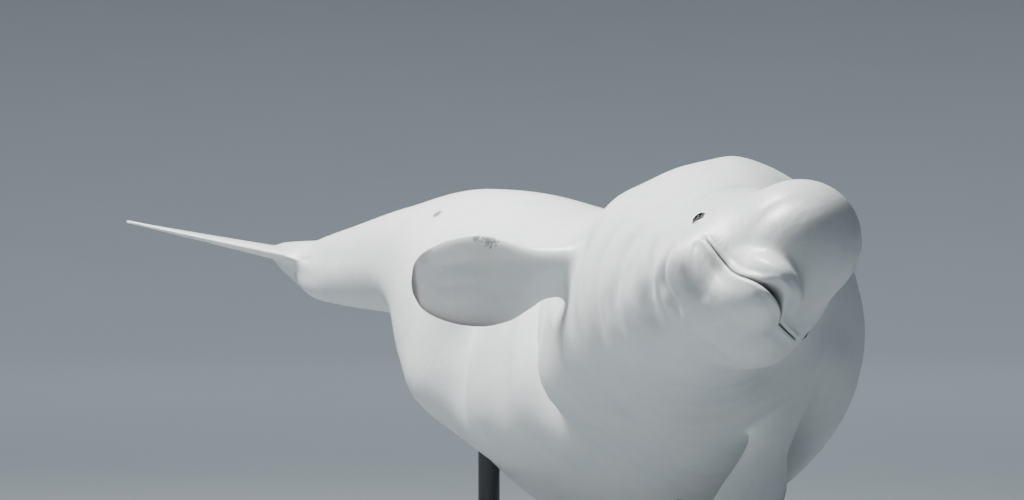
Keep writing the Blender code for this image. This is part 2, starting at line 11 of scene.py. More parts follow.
import bpy
import numpy as np
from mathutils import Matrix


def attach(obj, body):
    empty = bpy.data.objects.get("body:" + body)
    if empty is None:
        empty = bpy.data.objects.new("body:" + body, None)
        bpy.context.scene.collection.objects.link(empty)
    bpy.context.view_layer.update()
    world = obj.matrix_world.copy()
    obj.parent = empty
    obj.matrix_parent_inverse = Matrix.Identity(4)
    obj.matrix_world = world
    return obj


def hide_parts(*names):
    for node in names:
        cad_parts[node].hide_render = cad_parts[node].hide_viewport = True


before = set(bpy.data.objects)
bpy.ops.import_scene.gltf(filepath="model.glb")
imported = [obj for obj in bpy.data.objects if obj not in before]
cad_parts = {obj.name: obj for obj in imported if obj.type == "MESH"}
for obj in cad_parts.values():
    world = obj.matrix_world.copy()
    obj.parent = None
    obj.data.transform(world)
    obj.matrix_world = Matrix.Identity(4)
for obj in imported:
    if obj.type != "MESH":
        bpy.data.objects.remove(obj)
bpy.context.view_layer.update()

# Trunk: (distance behind the beak tip, back, belly, half width), heights from the spine
TRUNK = (
    (0.30, 0.190, 0.180, 0.165),
    (0.42, 0.218, 0.235, 0.203),
    (0.56, 0.252, 0.285, 0.240),
    (0.75, 0.304, 0.350, 0.300),
    (1.00, 0.337, 0.412, 0.373),
    (1.30, 0.358, 0.450, 0.426),
    (1.65, 0.402, 0.465, 0.438),
    (2.00, 0.402, 0.452, 0.426),
    (2.35, 0.368, 0.412, 0.368),
    (2.70, 0.304, 0.310, 0.280),
    (3.00, 0.196, 0.170, 0.195),
    (3.30, 0.128, 0.150, 0.120),
    (3.55, 0.096, 0.118, 0.072),
    (3.75, 0.056, 0.060, 0.040),
    (3.90, 0.012, 0.012, 0.010),
)
TAIL_END = TRUNK[-1][0]
SECTION_POWER = 2.15
NAPE_STATION = 0.45
NAPE_LENGTH = 0.30
NAPE_LEAST = 0.15
TAIL_ROUND = 0.10
TAIL_LEAST = 0.05
TAIL_SINK = 0.016

# Flattened shoulders above the flippers, on both sides
HOLLOW = 0.024
HOLLOW_FROM, HOLLOW_TO = 0.45, 1.45
HOLLOW_ANGLE = math.radians(58)
HOLLOW_SPREAD = math.radians(23)

# Head forms: middle (station, side, height) and radii (long, wide, high)
MELON = ((0.184, -0.008, 0.0725), (0.170, 0.145, 0.1545))
CRANIUM = ((0.340, 0.0, -0.005), (0.235, 0.188, 0.208))
UPPER_BEAK = ((0.150, 0.0, -0.066), (0.158, 0.088, 0.052))
LOWER_BEAK = ((0.185, 0.0, -0.126), (0.168, 0.084, 0.056))
CHEEK = ((0.330, 0.088, -0.085), (0.150, 0.100, 0.100))
FORM_BLEND = 0.035

# Low ridge along the back, and two rolls of fat along the belly: (station, height)
RIDGE = 0.018
RIDGE_FROM, RIDGE_TO = 1.80, 2.75
RIDGE_SPREAD = 0.07
ROLLS = ((1.10, 0.0), (1.60, 0.015), (2.20, 0.034), (2.55, 0.044), (2.76, 0.028), (2.90, 0.0))
ROLL_ANGLE = math.radians(155)
ROLL_SPREAD = math.radians(20)

# Mouth, from beyond the beak's tip back to the corner: (station, upper lip's height, opening)
MOUTH = (
    (-0.08, -0.082, 0.030),
    (0.00, -0.091, 0.022),
    (0.04, -0.109, 0.006),
    (0.08, -0.1145, 0.0025),
    (0.12, -0.109, 0.0015),
    (0.16, -0.096, 0.001),
    (0.185, -0.085, 0.0006),
    (0.215, -0.072, 0.0003),
)
MOUTH_CORNER = MOUTH[-1][0]
LINE_HALF = 0.0012
LINE_DEPTH = 0.010
CAVITY_DEPTH = 0.060
LIP_HEIGHT = 0.0045
LIP_WIDTH = 0.0065
LIP_VALLEY = 0.0045
CORNER_PIT = 0.0030
CORNER_CREASE = 0.0022
MOUTH_SUNK = 0.0035

# Axis that the skin is measured round: level with the mouth in the head, then down the spine
AXIS_STATION = 0.30
AXIS_HEIGHT = -0.098
AXIS_LENGTH = 0.40
HEAD_MIDDLE = (-AXIS_STATION, 0.0, AXIS_HEIGHT)
LONGEST_RAY = 0.90

# Which way each side lies along y
SIDES = {"left": 1, "right": -1}

# Eyes: place, ball and the opening between the lids
EYE_STATION = 0.318
EYE_ANGLE = math.radians(72)
EYE_AXIS_HEIGHT = -0.075
EYE_RADIUS = 0.020
EYE_SINK = 0.012
EYE_OPENING = (0.0150, 0.0125)
LID_THICKNESS = 0.0014
LID_REACH = 0.052
LID_BLEND = 0.006
LID_DIP = 0.005
LID_RIM = 0.0011
LID_RAYS = 0.0012
EYE_SURROUND = 0.10
EYE_HOLLOW, EYE_HOLLOW_AT, EYE_HOLLOW_WIDTH = 0.0040, 0.033, 0.012
# Creases over and under each eye: (height, bow, width, half length, depth)
LID_CREASES = (
    (0.0215, -9.0, 0.0022, 0.016, 0.0022),
    (0.0290, -8.0, 0.0026, 0.014, 0.0011),
    (-0.0205, 7.0, 0.0024, 0.014, 0.0020),
    (-0.0275, 6.0, 0.0028, 0.012, 0.0010),
)
# Pupil and iris as shares of the ball's radius
PUPIL_SIZE, IRIS_SIZE = 0.24, 0.52

# Blowhole: a crescent on the crown, its hollow side forward
BLOWHOLE_STATION = 0.385
BLOWHOLE_RADIUS = 0.040
BLOWHOLE_SIDE = 0.008
BLOWHOLE_TURN = math.radians(62)
BLOWHOLE_DEPTH = 0.014

# Soft forms of the skin: beside the melon, over the lip, on the cheek and all over the trunk
MELON_VALLEY = 0.0090
LIP_DIMPLE = 0.0040
JOWL_RISE = 0.010
FAT_RISE = 0.0030

# Bends of the spine, in degrees, each spread from its first station to its second
TURNS_LEFT = ((1.05, 0.35, 23.0), (1.10, 2.40, 56.5), (2.30, 3.50, -18.5))
TURNS_UP = ((0.90, 0.30, 24.0), (1.60, 0.55, -32.5), (1.30, 2.50, -10.5), (2.40, 3.50, 14.0))
TURNS_ROUND = ((1.05, 0.35, -2.5), (1.20, 3.50, 38.0))
SPINE_FROM, SPINE_TO, SPINE_POINTS = 0.25, 3.70, 346
CHEST_STATION = 1.20
CHEST_HEADING, CHEST_PITCH, CHEST_ROLL = -24.0, 27.5, -40.0
CHEST_AT = (0.55, 0.10, 0.98)

# Flippers: root (station, side, height), sizes, sweep back, lift and twist in degrees, and the
# plan: (share of the length, share of the width ahead and behind, share of the thickness)
FLIPPER_ROOT = (0.93, 0.335, -0.20)
FLIPPER_LENGTH = 0.438
FLIPPER_WIDTH = 0.234
FLIPPER_THICKNESS = 0.075
FLIPPER_SET = {"left": (55.0, -66.0, -40.0), "right": (16.5, -39.0, 68.0)}
FLIPPER_CURL = 0.030
FLIPPER_PLAN = (
    (-0.30, 0.26, 0.26, 1.15),
    (0.00, 0.27, 0.27, 1.00),
    (0.15, 0.29, 0.275, 0.85),
    (0.28, 0.36, 0.375, 0.71),
    (0.42, 0.460, 0.480, 0.56),
    (0.56, 0.520, 0.508, 0.46),
    (0.70, 0.503, 0.478, 0.38),
    (0.80, 0.460, 0.425, 0.30),
    (0.90, 0.380, 0.335, 0.22),
    (0.965, 0.265, 0.225, 0.14),
    (1.00, 0.05, 0.05, 0.08),
)
FINGER_RISE = 0.0014
FLARE = 0.034

# Flukes, and how far before and behind their root they can be
FLUKE_STATION = 3.60
FLUKE_SPAN = 1.11
FLUKE_CHORD = 0.37
FLUKE_SWEEP = 0.30
FLUKE_THICKNESS = 0.062
FLUKE_HEIGHT = 0.014
FLUKE_PITCH = math.radians(10.5)
FLUKE_TIP_RISE = 0.004
FLUKE_BLEND = 0.050
FLUKE_NEAR = (0.40, 0.60)

# Folds of skin round the bent neck, right side: (station, depth, width, middle angle, reach)
NECK_FOLDS = (
    (0.225, 0.0060, 0.018, 236, 20),
    (0.318, 0.0140, 0.017, 236, 30),
    (0.375, 0.0045, 0.015, 224, 24),
    (0.432, 0.0105, 0.021, 230, 36),
    (0.492, 0.0040, 0.017, 242, 22),
    (0.548, 0.0115, 0.024, 232, 36),
    (0.612, 0.0040, 0.019, 222, 26),
    (0.670, 0.0115, 0.028, 228, 36),
    (0.742, 0.0040, 0.022, 240, 24),
    (0.808, 0.0080, 0.028, 222, 34),
)
# Swell on each side of a fold: share of its depth, and place and width in widths of the fold
FOLD_SWELL, SWELL_AT, SWELL_WIDTH = 0.36, 2.1, 1.1
# Hollows between the rolls of the right flank: (station, depth, width, middle angle, reach)
FLANK_FOLDS = (
    (1.530, 0.055, 0.090, 232, 36),
    (2.240, 0.062, 0.110, 232, 40),
)
LEFT_SHARE = 0.25
NAPE_CREASE = (0.450, 0.0110, 0.022, 0, 66)

# Fold of skin ahead of each flipper's root: (station, angle in degrees, rise, length, reach)
ARM_FOLD = (0.785, 102, 0.020, 0.050, 16)
# Rear edge of the full chest, right side, running back under the flipper: (station, angle)
CHEST_EDGE = (
    (0.80, 104), (0.92, 119), (1.05, 123), (1.16, 128), (1.25, 136), (1.32, 147), (1.38, 165), (1.42, 190)
)
CHEST_RISE = 0.030
# Smooth skin round the flippers' roots: radius, and the width over which folds and chest come in
FOLDS_CLEAR = (0.115, 0.09)
CHEST_CLEAR = (0.085, 0.08)
# Small grey mark high on the right flank: (station, angle in degrees, radius)
FLANK_MARK = (2.72, -60, 0.017)
# Two scuffs on the leading edge of the right flipper, each (share of its length, radius)
FLIPPER_SCUFFS = ((0.52, 0.016), (0.44, 0.026))

# The skin's lines: how many run round the body, and rings between stations: (from, to, count)
LINES_ROUND = 216
RINGS_FRONT = 84
RINGS = (
    (0.300, 0.460, 40),
    (0.460, 1.000, 76),
    (1.000, 1.700, 34),
    (1.700, 2.950, 48),
    (2.950, 3.900, 40),
)
FLIPPER_LINES, FLIPPER_RINGS, FLARE_RINGS = 56, 44, 12
FLUKE_LINES, FLUKE_RINGS = 48, 121
LID_LINES = 110
EYE_GRID = (40, 56)
FLOOR_LINES = 96
# Fine skin of the lips: its turn to each side in degrees, lines, and reach above and below the line
LIP_TURN, LIP_LINES, LIP_REACH = 70.0, 225, 0.0256

# The photographed camera, from its place and level heading to its focal length in pixels
CAMERA_AT = (7.073, -4.301, 1.136)
CAMERA_HEADING = math.radians(60)
PHOTO_WIDTH = 1024
FOCAL_PIXELS = 2969
SENSOR = 36.0

# Studio lamps: (name, place, size, watts, colour), and the lamps for the far wall: their watts
LAMP_AIM = (0.1, 0.1, 0.9)
LAMPS = (
    ("key", (-0.65, -1.9, 5.0), 1.5, 690, (1.0, 0.99, 0.97)),
    ("fill", (7.5, -7.5, 3.2), 4.0, 25, (0.86, 0.94, 1.0)),
)
WALL_LAMPS = (24000, 9000, 9000)
WALL_LAMP_HEIGHT = 30.0


def ease(t):
    """Smooth step from 0 to 1: 3t² - 2t³."""
    t = np.clip(t, 0.0, 1.0)
    return t * t * (3.0 - 2.0 * t)


def fall(value, start, length):
    """Smooth step from 1 at the start down to 0 at the length past it."""
    return 1.0 - ease((value - start) / length)


def grid_of(*values):
    """Arrays of one shape from rows and columns."""
    return [np.array(v, dtype=float) for v in np.broadcast_arrays(*values)]


def circle(count):
    """A row of angles evenly round a circle."""
    return np.linspace(0.0, 2 * np.pi, count, endpoint=False)[None, :]


def unit(vectors):
    """Vectors made 1 long."""
    return vectors / np.linalg.norm(vectors, axis=-1, keepdims=True)


def on_line(at, stations, line):
    """Points on a line at some stations, straight between its own."""
    return np.stack([np.interp(at, stations, part) for part in line.T], axis=-1)


def through(rows, column, at):
    """Smooth curve through one column of sizes against the first column, with no overshoot."""
    stations, sizes = np.array(rows)[:, 0], np.array(rows)[:, column]
    step = np.diff(stations)
    slope = np.diff(sizes) / step
    turns = slope[1:] * slope[:-1] <= 0.0
    total = np.where(turns, 1.0, slope[1:] + slope[:-1])
    inner = np.where(turns, 0.0, 2.0 * slope[1:] * slope[:-1] / total)
    tangent = np.concatenate([slope[:1], inner, slope[-1:]])
    at = np.clip(at, stations[0], stations[-1])
    i = np.clip(np.searchsorted(stations, at) - 1, 0, len(step) - 1)
    t = (at - stations[i]) / step[i]
    rise = sizes[i + 1] - sizes[i]
    start, end = tangent[i] * step[i], tangent[i + 1] * step[i]
    square = (3 * rise - 2 * start - end) * t**2
    return sizes[i] + start * t + square + (start + end - 2 * rise) * t**3


def bump(value, start, end):
    """One smooth hump between start and end: the square of a half sine."""
    t = np.clip((value - start) / (end - start), 0.0, 1.0)
    return np.sin(np.pi * t) ** 2


def well(distance, width):
    """Bell curve: 1 at distance 0, and nearly 0 past twice the width."""
    return np.exp(-((distance / width) ** 2))


def tail_lift(x):
    """How far the tail's wedge rises with the pitch of the flukes, behind their root."""
    return np.maximum(-x - FLUKE_STATION, 0.0) * math.tan(FLUKE_PITCH)


def section(s):
    """Half width, half height and middle height of the trunk, which rounds off at both ends."""
    back, belly, half = (through(TRUNK, column, s) for column in (1, 2, 3))
    front = np.clip((NAPE_STATION - s) / NAPE_LENGTH, 0.0, 1.0)
    close = np.maximum(np.sqrt(1.0 - front**2), NAPE_LEAST)
    rear = np.clip((s - TAIL_END) / TAIL_ROUND + 1.0, 0.0, 1.0)
    close = close * np.maximum(np.sqrt(1.0 - rear**2), TAIL_LEAST)
    return half * close, (back + belly) / 2 * close, (back - belly) / 2


def trunk_field(x, y, z):
    """Negative inside the trunk: how far a point lies from its rounded section."""
    wide, high, middle = section(-x)
    power = SECTION_POWER
    ratio = (np.abs(y / wide) ** power + np.abs((z - middle) / high) ** power) ** (1 / power)
    off = (np.arctan2(np.abs(y), z) - HOLLOW_ANGLE) / HOLLOW_SPREAD
    hollow = HOLLOW * bump(-x, HOLLOW_FROM, HOLLOW_TO) * np.exp(-(off**4))
    round_field = (ratio - 1.0) * np.minimum(wide, high) + hollow
    return np.maximum(round_field, x + NAPE_STATION - NAPE_LENGTH)


def egg(parts, radii):
    """Negative inside an ellipse or egg, and about the distance to it outside: k0 (k0 - 1) / k1,
    with k0 the length of the parts over the radii, and k1 that over their squares."""
    k0, k1 = (np.sqrt(sum((v / r**n) ** 2 for v, r in zip(parts, radii))) for n in (1, 2))
    return k0 * (k0 - 1.0) / (k1 + 1e-9)


def form_field(x, y, z, middle, radii):
    """Negative inside one egg-shaped form of the head."""
    return egg((x + middle[0], y - middle[1], z - middle[2]), radii)


def blend(a, b, width=FORM_BLEND):
    """Union of two fields with a rounded valley between them."""
    h = np.clip(0.5 + 0.5 * (b - a) / width, 0.0, 1.0)
    return b + (a - b) * h - width * h * (1.0 - h)


def at_points(field, points):
    """A field's values at an array of points."""
    return field(*np.moveaxis(points, -1, 0))


def flesh(x, y, z):
    """Negative inside the body without its fins: trunk, skull, melon, beaks and cheeks."""
    field = trunk_field(x, y, z - tail_lift(x))
    for middle, radii in (CRANIUM, MELON, UPPER_BEAK, LOWER_BEAK):
        field = blend(field, form_field(x, y, z, middle, radii))
    return blend(field, form_field(x, np.abs(y), z, *CHEEK))


def fluke_plan(t):
    """Middle and half length of the chord, and half thickness, at share t of a lobe's span."""
    front = -FLUKE_SWEEP * t**1.3
    rear = -FLUKE_CHORD * (0.93 + 0.14 * np.sin(np.pi * t**0.8)) - 0.02 * t
    chord = (front - rear) / 2 * np.sqrt(np.maximum(1.0 - t**7, 1e-6))
    return (front + rear) / 2, chord, FLUKE_THICKNESS / 2 * (0.16 + 0.84 * (1 - t) ** 1.2)


def fluke_field(x, y, z):
    """Negative inside the flukes: a foil section across both lobes, pitched about its root."""
    c, s = math.cos(FLUKE_PITCH), math.sin(FLUKE_PITCH)
    back, up = x + FLUKE_STATION, z - FLUKE_HEIGHT
    along, high = back * c - up * s, back * s + up * c
    t = np.clip(np.abs(y) / (FLUKE_SPAN / 2), 0.0, 0.99)
    middle, chord, thick = fluke_plan(t)
    thick = thick * (0.80 + 0.35 * np.clip((along - middle) / chord, -1.0, 1.0))
    return egg((along - middle, high), (chord, thick))


def whole(x, y, z):
    """Negative inside the body with its flukes, joined by a rounded web."""
    body = flesh(x, y, z)
    near = (-x > FLUKE_STATION - FLUKE_NEAR[0]) & (-x < FLUKE_STATION + FLUKE_NEAR[1])
    if not near.any():
        return body
    joined = body.copy()
    joined[near] = blend(body[near], fluke_field(x[near], y[near], z[near]), FLUKE_BLEND)
    return joined


def halved(inside, low, high, steps=26):
    """Largest length of each line that is still inside, found by halving between low and high."""
    for _ in range(steps):
        mid = (low + high) / 2
        within = inside(mid)
        low, high = np.where(within, mid, low), np.where(within, high, mid)
    return low


def ray_length(start, way, field, longest):
    """Length of each ray from its start to the field's surface."""
    return halved(lambda far: field(*(start + far * way)) < 0.0, np.zeros_like(longest), longest)


def axis_height(s, head=AXIS_HEIGHT):
    """Height that the skin's rays leave from at station s."""
    return head * (1.0 - ease((s - AXIS_STATION) / AXIS_LENGTH)) + tail_lift(-s)


def reach(s, fan, angle, field, head=AXIS_HEIGHT, cap=None):
    """Start and direction of each ray, and its length to the field's surface."""
    way = np.stack([np.sin(fan), np.cos(fan) * np.sin(angle), np.cos(fan) * np.cos(angle)])
    start = np.stack([-s, np.zeros_like(s), axis_height(s, head)])
    longest = np.full_like(s, LONGEST_RAY) if cap is None else cap
    return start, way, ray_length(start, way, field, longest)


def spot(station, angle, head=AXIS_HEIGHT):
    """Point of the bare body at one station and one angle round it."""
    start, way, length = reach(*(np.array([v]) for v in (station, 0.0, angle)), flesh, head)
    return (start + length * way)[:, 0]


def fold_valleys(folds, station, angle, left_share=0.0):
    """Depth of the folds: bell-shaped valleys across the body with a low swell on each side,
    wandering a little and fading out at both ends of their reach. A weaker copy runs on the left
    side."""
    total = np.zeros_like(station)
    for i, (at, depth, width, middle, half) in enumerate(folds):
        for share, centre in ((1.0, middle), (left_share, 360 - middle)):
            if share == 0.0:
                continue
            off = (np.degrees(angle) - centre + 180.0) % 360.0 - 180.0
            turn = np.radians(off)
            wander = 0.012 * np.sin(turn * 3.1 + 1.7 * i) + 0.005 * np.sin(turn * 9.0 + i)
            past = station - at - wander
            swell = sum(well(past + way * SWELL_AT * width, SWELL_WIDTH * width) for way in (-1, 1))
            fade = fall(np.abs(off), half * 0.35, half * 0.85)
            total += share * depth * fade * (well(past, width) - FOLD_SWELL * swell)
    return total


def eye_frame(side):
    """Middle of the eye's opening and the three directions there: outwards, forward and upwards."""
    angle = side * EYE_ANGLE
    here, behind, ahead, below, above = (
        spot(EYE_STATION + step, angle * turn, EYE_AXIS_HEIGHT)
        for step, turn in ((0.0, 1.0), (0.01, 1.0), (-0.01, 1.0), (0.0, 1.04), (0.0, 0.96))
    )
    along = unit(ahead - behind)
    out = unit(np.cross(above - below, along) * side)
    return here, out, along, np.cross(along, out) * side


EYES = {hand: eye_frame(side) for hand, side in SIDES.items()}


def eye_relief(points, fine):
    """Lids over each ball: the skin follows the ball a lid's thickness outside it, dips behind
    the ball inside the almond opening, and has a soft hollow and creases round it. The coarse
    skin only has the hollow, and sinks under the fine skin near the ball."""
    move, dark = np.zeros(points.shape), np.zeros(points.shape[:-1])
    for here, out, along, above in EYES.values():
        e = points - here
        a, b = e @ along, e @ above
        apart = np.sqrt(np.sum(e**2, axis=-1))
        near = apart < EYE_SURROUND
        a, b, apart = a[near], b[near], apart[near]
        height = -EYE_HOLLOW * well(apart - EYE_HOLLOW_AT, EYE_HOLLOW_WIDTH)
        length, width = EYE_OPENING
        leaf = width * np.clip(1.0 - 0.30 * (a / length) ** 2, 0.25, 1.0)
        # q is 1 on the edge of the opening and grows outwards
        q = np.sqrt((a / length) ** 2 + (b / leaf) ** 2)
        if fine:
            flat = np.minimum(np.hypot(a, b), EYE_RADIUS)
            ball = np.sqrt(EYE_RADIUS**2 - flat**2) - EYE_SINK
            lid = -blend(-(ball + LID_THICKNESS), np.zeros_like(ball), LID_BLEND)
            rim = LID_RIM * well(q - 1.13, 0.15)
            closed = ease((q - 0.92) / 0.14)
            height += (lid + rim) * closed + (ball - LID_DIP) * (1.0 - closed)
            for at, bow, spread, half, depth in LID_CREASES:
                height -= depth * well(b - at - bow * a**2, spread) * fall(np.abs(a), half, 0.016)
            turn = np.arctan2(b, -a - 0.012)
            rays = np.sin(7.0 * turn) ** 2 * bump(-a, 0.014, 0.040) * fall(np.abs(b), 0.008, 0.014)
            height -= LID_RAYS * rays
        else:
            height -= 0.003 * fall(apart, 0.032, 0.010) + 0.009 * fall(apart, 0.014, 0.008)
        move[near] += height[..., None] * out
        dark[near] = np.maximum(dark[near], fall(q, 1.30, 0.55))
    return move, dark


def mouth_relief(points, fine):
    """Line of the mouth as a narrow groove that opens to a cavity at the tip, a rounded lip on
    each side of it, and a small pit with a crease at the corner. Skin moves level, away from
    the middle of the head. The coarse skin sinks under the fine skin along the line."""
    station, side, height = -points[..., 0], points[..., 1], points[..., 2]
    gap = through(MOUTH, 2, station)
    off = height - through(MOUTH, 1, station) + gap / 2
    half = gap / 2 + LINE_HALF
    front = fall(station, 0.32, 0.1)
    lips = well(off - half - 0.0070, LIP_WIDTH) + 1.25 * well(off + half + 0.0085, LIP_WIDTH * 1.2)
    below = well(off + half + 0.034 - 0.05 * (station - 0.1), 0.011) * bump(station, 0.00, 0.26)
    beside = np.abs(side) > 0.08
    corner = np.hypot(station - MOUTH_CORNER - 0.005, height - MOUTH[-1][1] - 0.003)
    crease = well(station - MOUTH_CORNER - 0.016 - 0.25 * (height + 0.085), 0.0055)
    crease = CORNER_PIT * well(corner, 0.009) + CORNER_CREASE * crease * bump(height, -0.150, -0.055)
    move = front * LIP_HEIGHT * lips * fall(station, 0.185, 0.06) - LIP_VALLEY * below - crease * beside
    present = fall(station, MOUTH_CORNER - 0.008, 0.016) * front
    # The groove's share also paints the shadow inside the mouth line, through the dark value.
    groove = fall(np.abs(off), half * 0.50, half * 0.50 + 0.0016) * present
    depth = LINE_DEPTH * (0.5 + 0.5 * fall(station, 0.16, 0.06)) + CAVITY_DEPTH * ease(gap / 0.022)
    if fine:
        move -= depth * groove
    else:
        sunk = fall(np.abs(off), half + 0.008, 0.008) * front * fall(station, 0.215, 0.012)
        wide = fall(np.abs(off), half, 0.004) * present
        move -= MOUTH_SUNK * sunk + (depth + 0.004) * wide
        groove = groove * 0.0
    away = np.stack([points[..., 0] + AXIS_STATION, side, np.zeros_like(side)], axis=-1)
    away /= np.linalg.norm(away, axis=-1, keepdims=True) + 1e-9
    return move[..., None] * away, groove


def blowhole_relief(points, fine):
    """Crescent slit with a raised rim: a groove at one radius from a point ahead of it. The coarse
    skin has neither, and sinks under the fine skin there."""
    x, y = points[..., 0] + BLOWHOLE_STATION - BLOWHOLE_RADIUS, points[..., 1] - BLOWHOLE_SIDE
    far = np.hypot(x, y) - BLOWHOLE_RADIUS
    turn = np.abs(np.arctan2(y, -x))
    top = points[..., 2] > 0.1
    there = fall(turn, BLOWHOLE_TURN * 0.75, BLOWHOLE_TURN * 0.3) * top
    # The groove's share also paints the shadow inside the slit, through the dark value.
    groove = well(far, 0.0026) * there
    rim = 0.0034 * well(far - 0.009, 0.007) + 0.0050 * well(far + 0.009, 0.008)
    if fine:
        return rim * there - BLOWHOLE_DEPTH * groove, groove
    wide = fall(turn, BLOWHOLE_TURN, BLOWHOLE_TURN * 0.25) * fall(np.abs(far), 0.004, 0.008)
    near = np.hypot((points[..., 0] + BLOWHOLE_STATION - 0.007) / 0.034, y / 0.054)
    return -(0.0045 * fall(near, 0.78, 0.22) + (BLOWHOLE_DEPTH + 0.004) * wide) * top, groove * 0.0


def form_relief(points, angle):
    """Soft forms of the face and body: shallow valleys beside the melon, a dimple over the lip,
    the full cheek, and the uneven lie of the fat. Then the fold ahead of each flipper's root, and
    the full chest on the right."""
    station, side, height = -points[..., 0], np.abs(points[..., 1]), points[..., 2]
    right = points[..., 1] < 0.0
    valley = well(station - 0.112 + 0.45 * (height + 0.016), 0.020)
    move = -MELON_VALLEY * valley * bump(height, -0.07, 0.15) * ease((side - 0.05) / 0.04)
    move -= LIP_DIMPLE * well(np.hypot(station - 0.094, height + 0.066), 0.012) * (side > 0.04)
    jowl = well(np.hypot((station - 0.275) / 0.045, (height + 0.150) / 0.050), 1.0)
    move += JOWL_RISE * jowl * (0.5 + 0.5 * right)
    fat = np.sin(7.3 * station + 1.9 * np.sin(2 * angle) + 0.7) * np.sin(3 * angle + 2.1 * station)
    fat += 0.6 * np.sin(13.7 * station - 2.3 * np.sin(angle + 0.6)) * np.cos(5 * angle + 1.2)
    move += FAT_RISE * fat * ease((station - 0.42) / 0.4) * (0.3 + 0.7 * fall(station, 2.9, 0.6))
    at, turn, rise, length, span = ARM_FOLD
    turned_by = np.degrees(np.abs(angle))
    arm = rise * well(station - at, length) * well(turned_by - turn, span)
    chest = ease((turned_by - through(CHEST_EDGE, 1, station)) / 14.0 + 0.5) * ease((station - 0.84) / 0.24)
    return move, arm, CHEST_RISE * chest * fall(turned_by, 146.0, 34.0) * right


def flipper_root(hand):
    """Middle of a flipper's root on the straight whale."""
    return np.array([-FLIPPER_ROOT[0], SIDES[hand] * FLIPPER_ROOT[1], FLIPPER_ROOT[2]])


def root_calm(points, clear, spread):
    """0 on the flippers' roots and 1 away from them, so that the folds leave the roots smooth."""
    calm = np.ones(points.shape[:-1])
    for hand in SIDES:
        calm *= ease((np.linalg.norm(points - flipper_root(hand), axis=-1) - clear) / spread)
    return calm


def clothed(base, way, fine=False):
    """Points of the finished skin over points of the bare body, and its values at each: how deep in a
    crease it lies, which sets a painted shade in the folds, and how dark it is, which paints the shadow in
    the mouth line and the blowhole's slit. Forms and folds move it along way, the direction it was found
    in."""
    station = -base[..., 0]
    angle = np.arctan2(base[..., 1], base[..., 2] - axis_height(station))
    ridge = well(np.sin(angle / 2), RIDGE_SPREAD) * bump(station, RIDGE_FROM, RIDGE_TO)
    rolls = through(ROLLS, 1, station) * well(np.abs(angle) - ROLL_ANGLE, ROLL_SPREAD)
    calm = root_calm(base, *FOLDS_CLEAR)
    neck = fold_valleys(NECK_FOLDS, station, angle, LEFT_SHARE) * calm
    flank = fold_valleys(FLANK_FOLDS, station, angle) * calm
    nape = fold_valleys((NAPE_CREASE,), station, angle)
    mouth, line = mouth_relief(base, fine)
    lids, lid_dark = eye_relief(base, fine)
    blowhole, slit = blowhole_relief(base, fine)
    forms, arm, chest = form_relief(base, angle)
    move = RIDGE * ridge + rolls - neck - flank - nape + blowhole + forms * calm + arm
    move += chest * root_calm(base, *CHEST_CLEAR)
    # Painted shade: the crease value greys the skin in the neck folds and the nape crease, deeper folds
    # greyer.
    crease = np.clip(neck / 0.014 + nape / 0.020, 0.0, 0.8)
    # Painted shadow: the dark value is near black in the mouth line and the blowhole's slit.
    values = {"crease": crease, "dark": np.clip(line + slit, 0.0, 1.0), "lid": lid_dark}
    return base + move[..., None] * way + mouth + lids, values


def body_points(s, fan, angle, fine=False):
    """Finished skin met by the rays from station s, leaning forward by fan, round the body by
    angle, and its values. Near the flukes the rays stop on their web, and the very end sinks."""
    start, way, plain = reach(s, fan, angle, flesh)
    if s.max() > FLUKE_STATION - FLUKE_NEAR[0]:
        start, way, plain = reach(s, fan, angle, whole, cap=plain + FLUKE_BLEND + 0.012)
        plain = np.maximum(plain - TAIL_SINK * ease((s - TAIL_END + 0.09) / 0.09), 0.0)
    base = np.moveaxis(start + plain * way, 0, -1)
    return clothed(base, np.moveaxis(way, 0, -1), fine)


def spaced(start, end, count, density):
    """Values from start to end, closer together where the density is higher."""
    fine = np.linspace(start, end, 4001)
    weight = density((fine[1:] + fine[:-1]) / 2)
    run = np.concatenate([[0.0], np.cumsum(weight)])
    return np.interp(np.linspace(0.0, run[-1], count), run, fine)


def skin_lines():
    """Angles round the body, alike on both sides, closest beside the mouth and the eyes."""
    half = spaced(0.0, 180.0, LINES_ROUND // 2 + 1, lambda a: 1.0 + 2.3 * well(a - 84.0, 24.0))
    return np.radians(np.concatenate([half, 360.0 - half[-2:0:-1]]))


def skin_rings():
    """Station and fan of each ring: fans round the front of the head, then stations."""
    fans = spaced(89.7, 0.0, RINGS_FRONT, lambda f: 1.0 + 2.6 * ease((f - 68.0) / 8.0))
    rows = [np.stack([np.full(RINGS_FRONT, AXIS_STATION), np.radians(fans)])]
    for start, end, count in RINGS:
        stations = np.linspace(start, end, count + 1)[1:]
        rows.append(np.stack([stations, np.zeros(count)]))
    return np.concatenate(rows, axis=1)


def grid_faces(rows, columns, closed):
    """Quads of a grid: row i, column j to row i + 1, column j + 1. A closed one joins round."""
    i, j = np.meshgrid(np.arange(rows - 1), np.arange(columns - (not closed)), indexing="ij")
    k = (j + 1) % columns
    here, after = i * columns, (i + 1) * columns
    return np.stack([here + j, here + k, after + k, after + j], axis=-1).reshape(-1, 4)


def pole_faces(first, around, pole):
    """Triangles from one ring, whose first point is given, to the point that closes it."""
    j = np.arange(around)
    return np.stack([first + j, first + (j + 1) % around, np.full(around, pole)], axis=-1)


def turned(s, turns):
    """Angle of the spine at station s, from its list of bends."""
    return sum(math.radians(amount) * ease((s - a) / (b - a)) for a, b, amount in turns)


def directions(heading, pitch, roll):
    """Forward, left and up directions, one row each, for the three angles in radians."""
    east, north = np.cos(heading), np.sin(heading)
    forward = np.stack([east * np.cos(pitch), north * np.cos(pitch), np.sin(pitch)], axis=-1)
    level = np.stack([-north, east, np.zeros_like(heading)], axis=-1)
    above = np.cross(forward, level)
    c, s = np.cos(roll)[..., None], np.sin(roll)[..., None]
    return forward, level * c + above * s, above * c - level * s


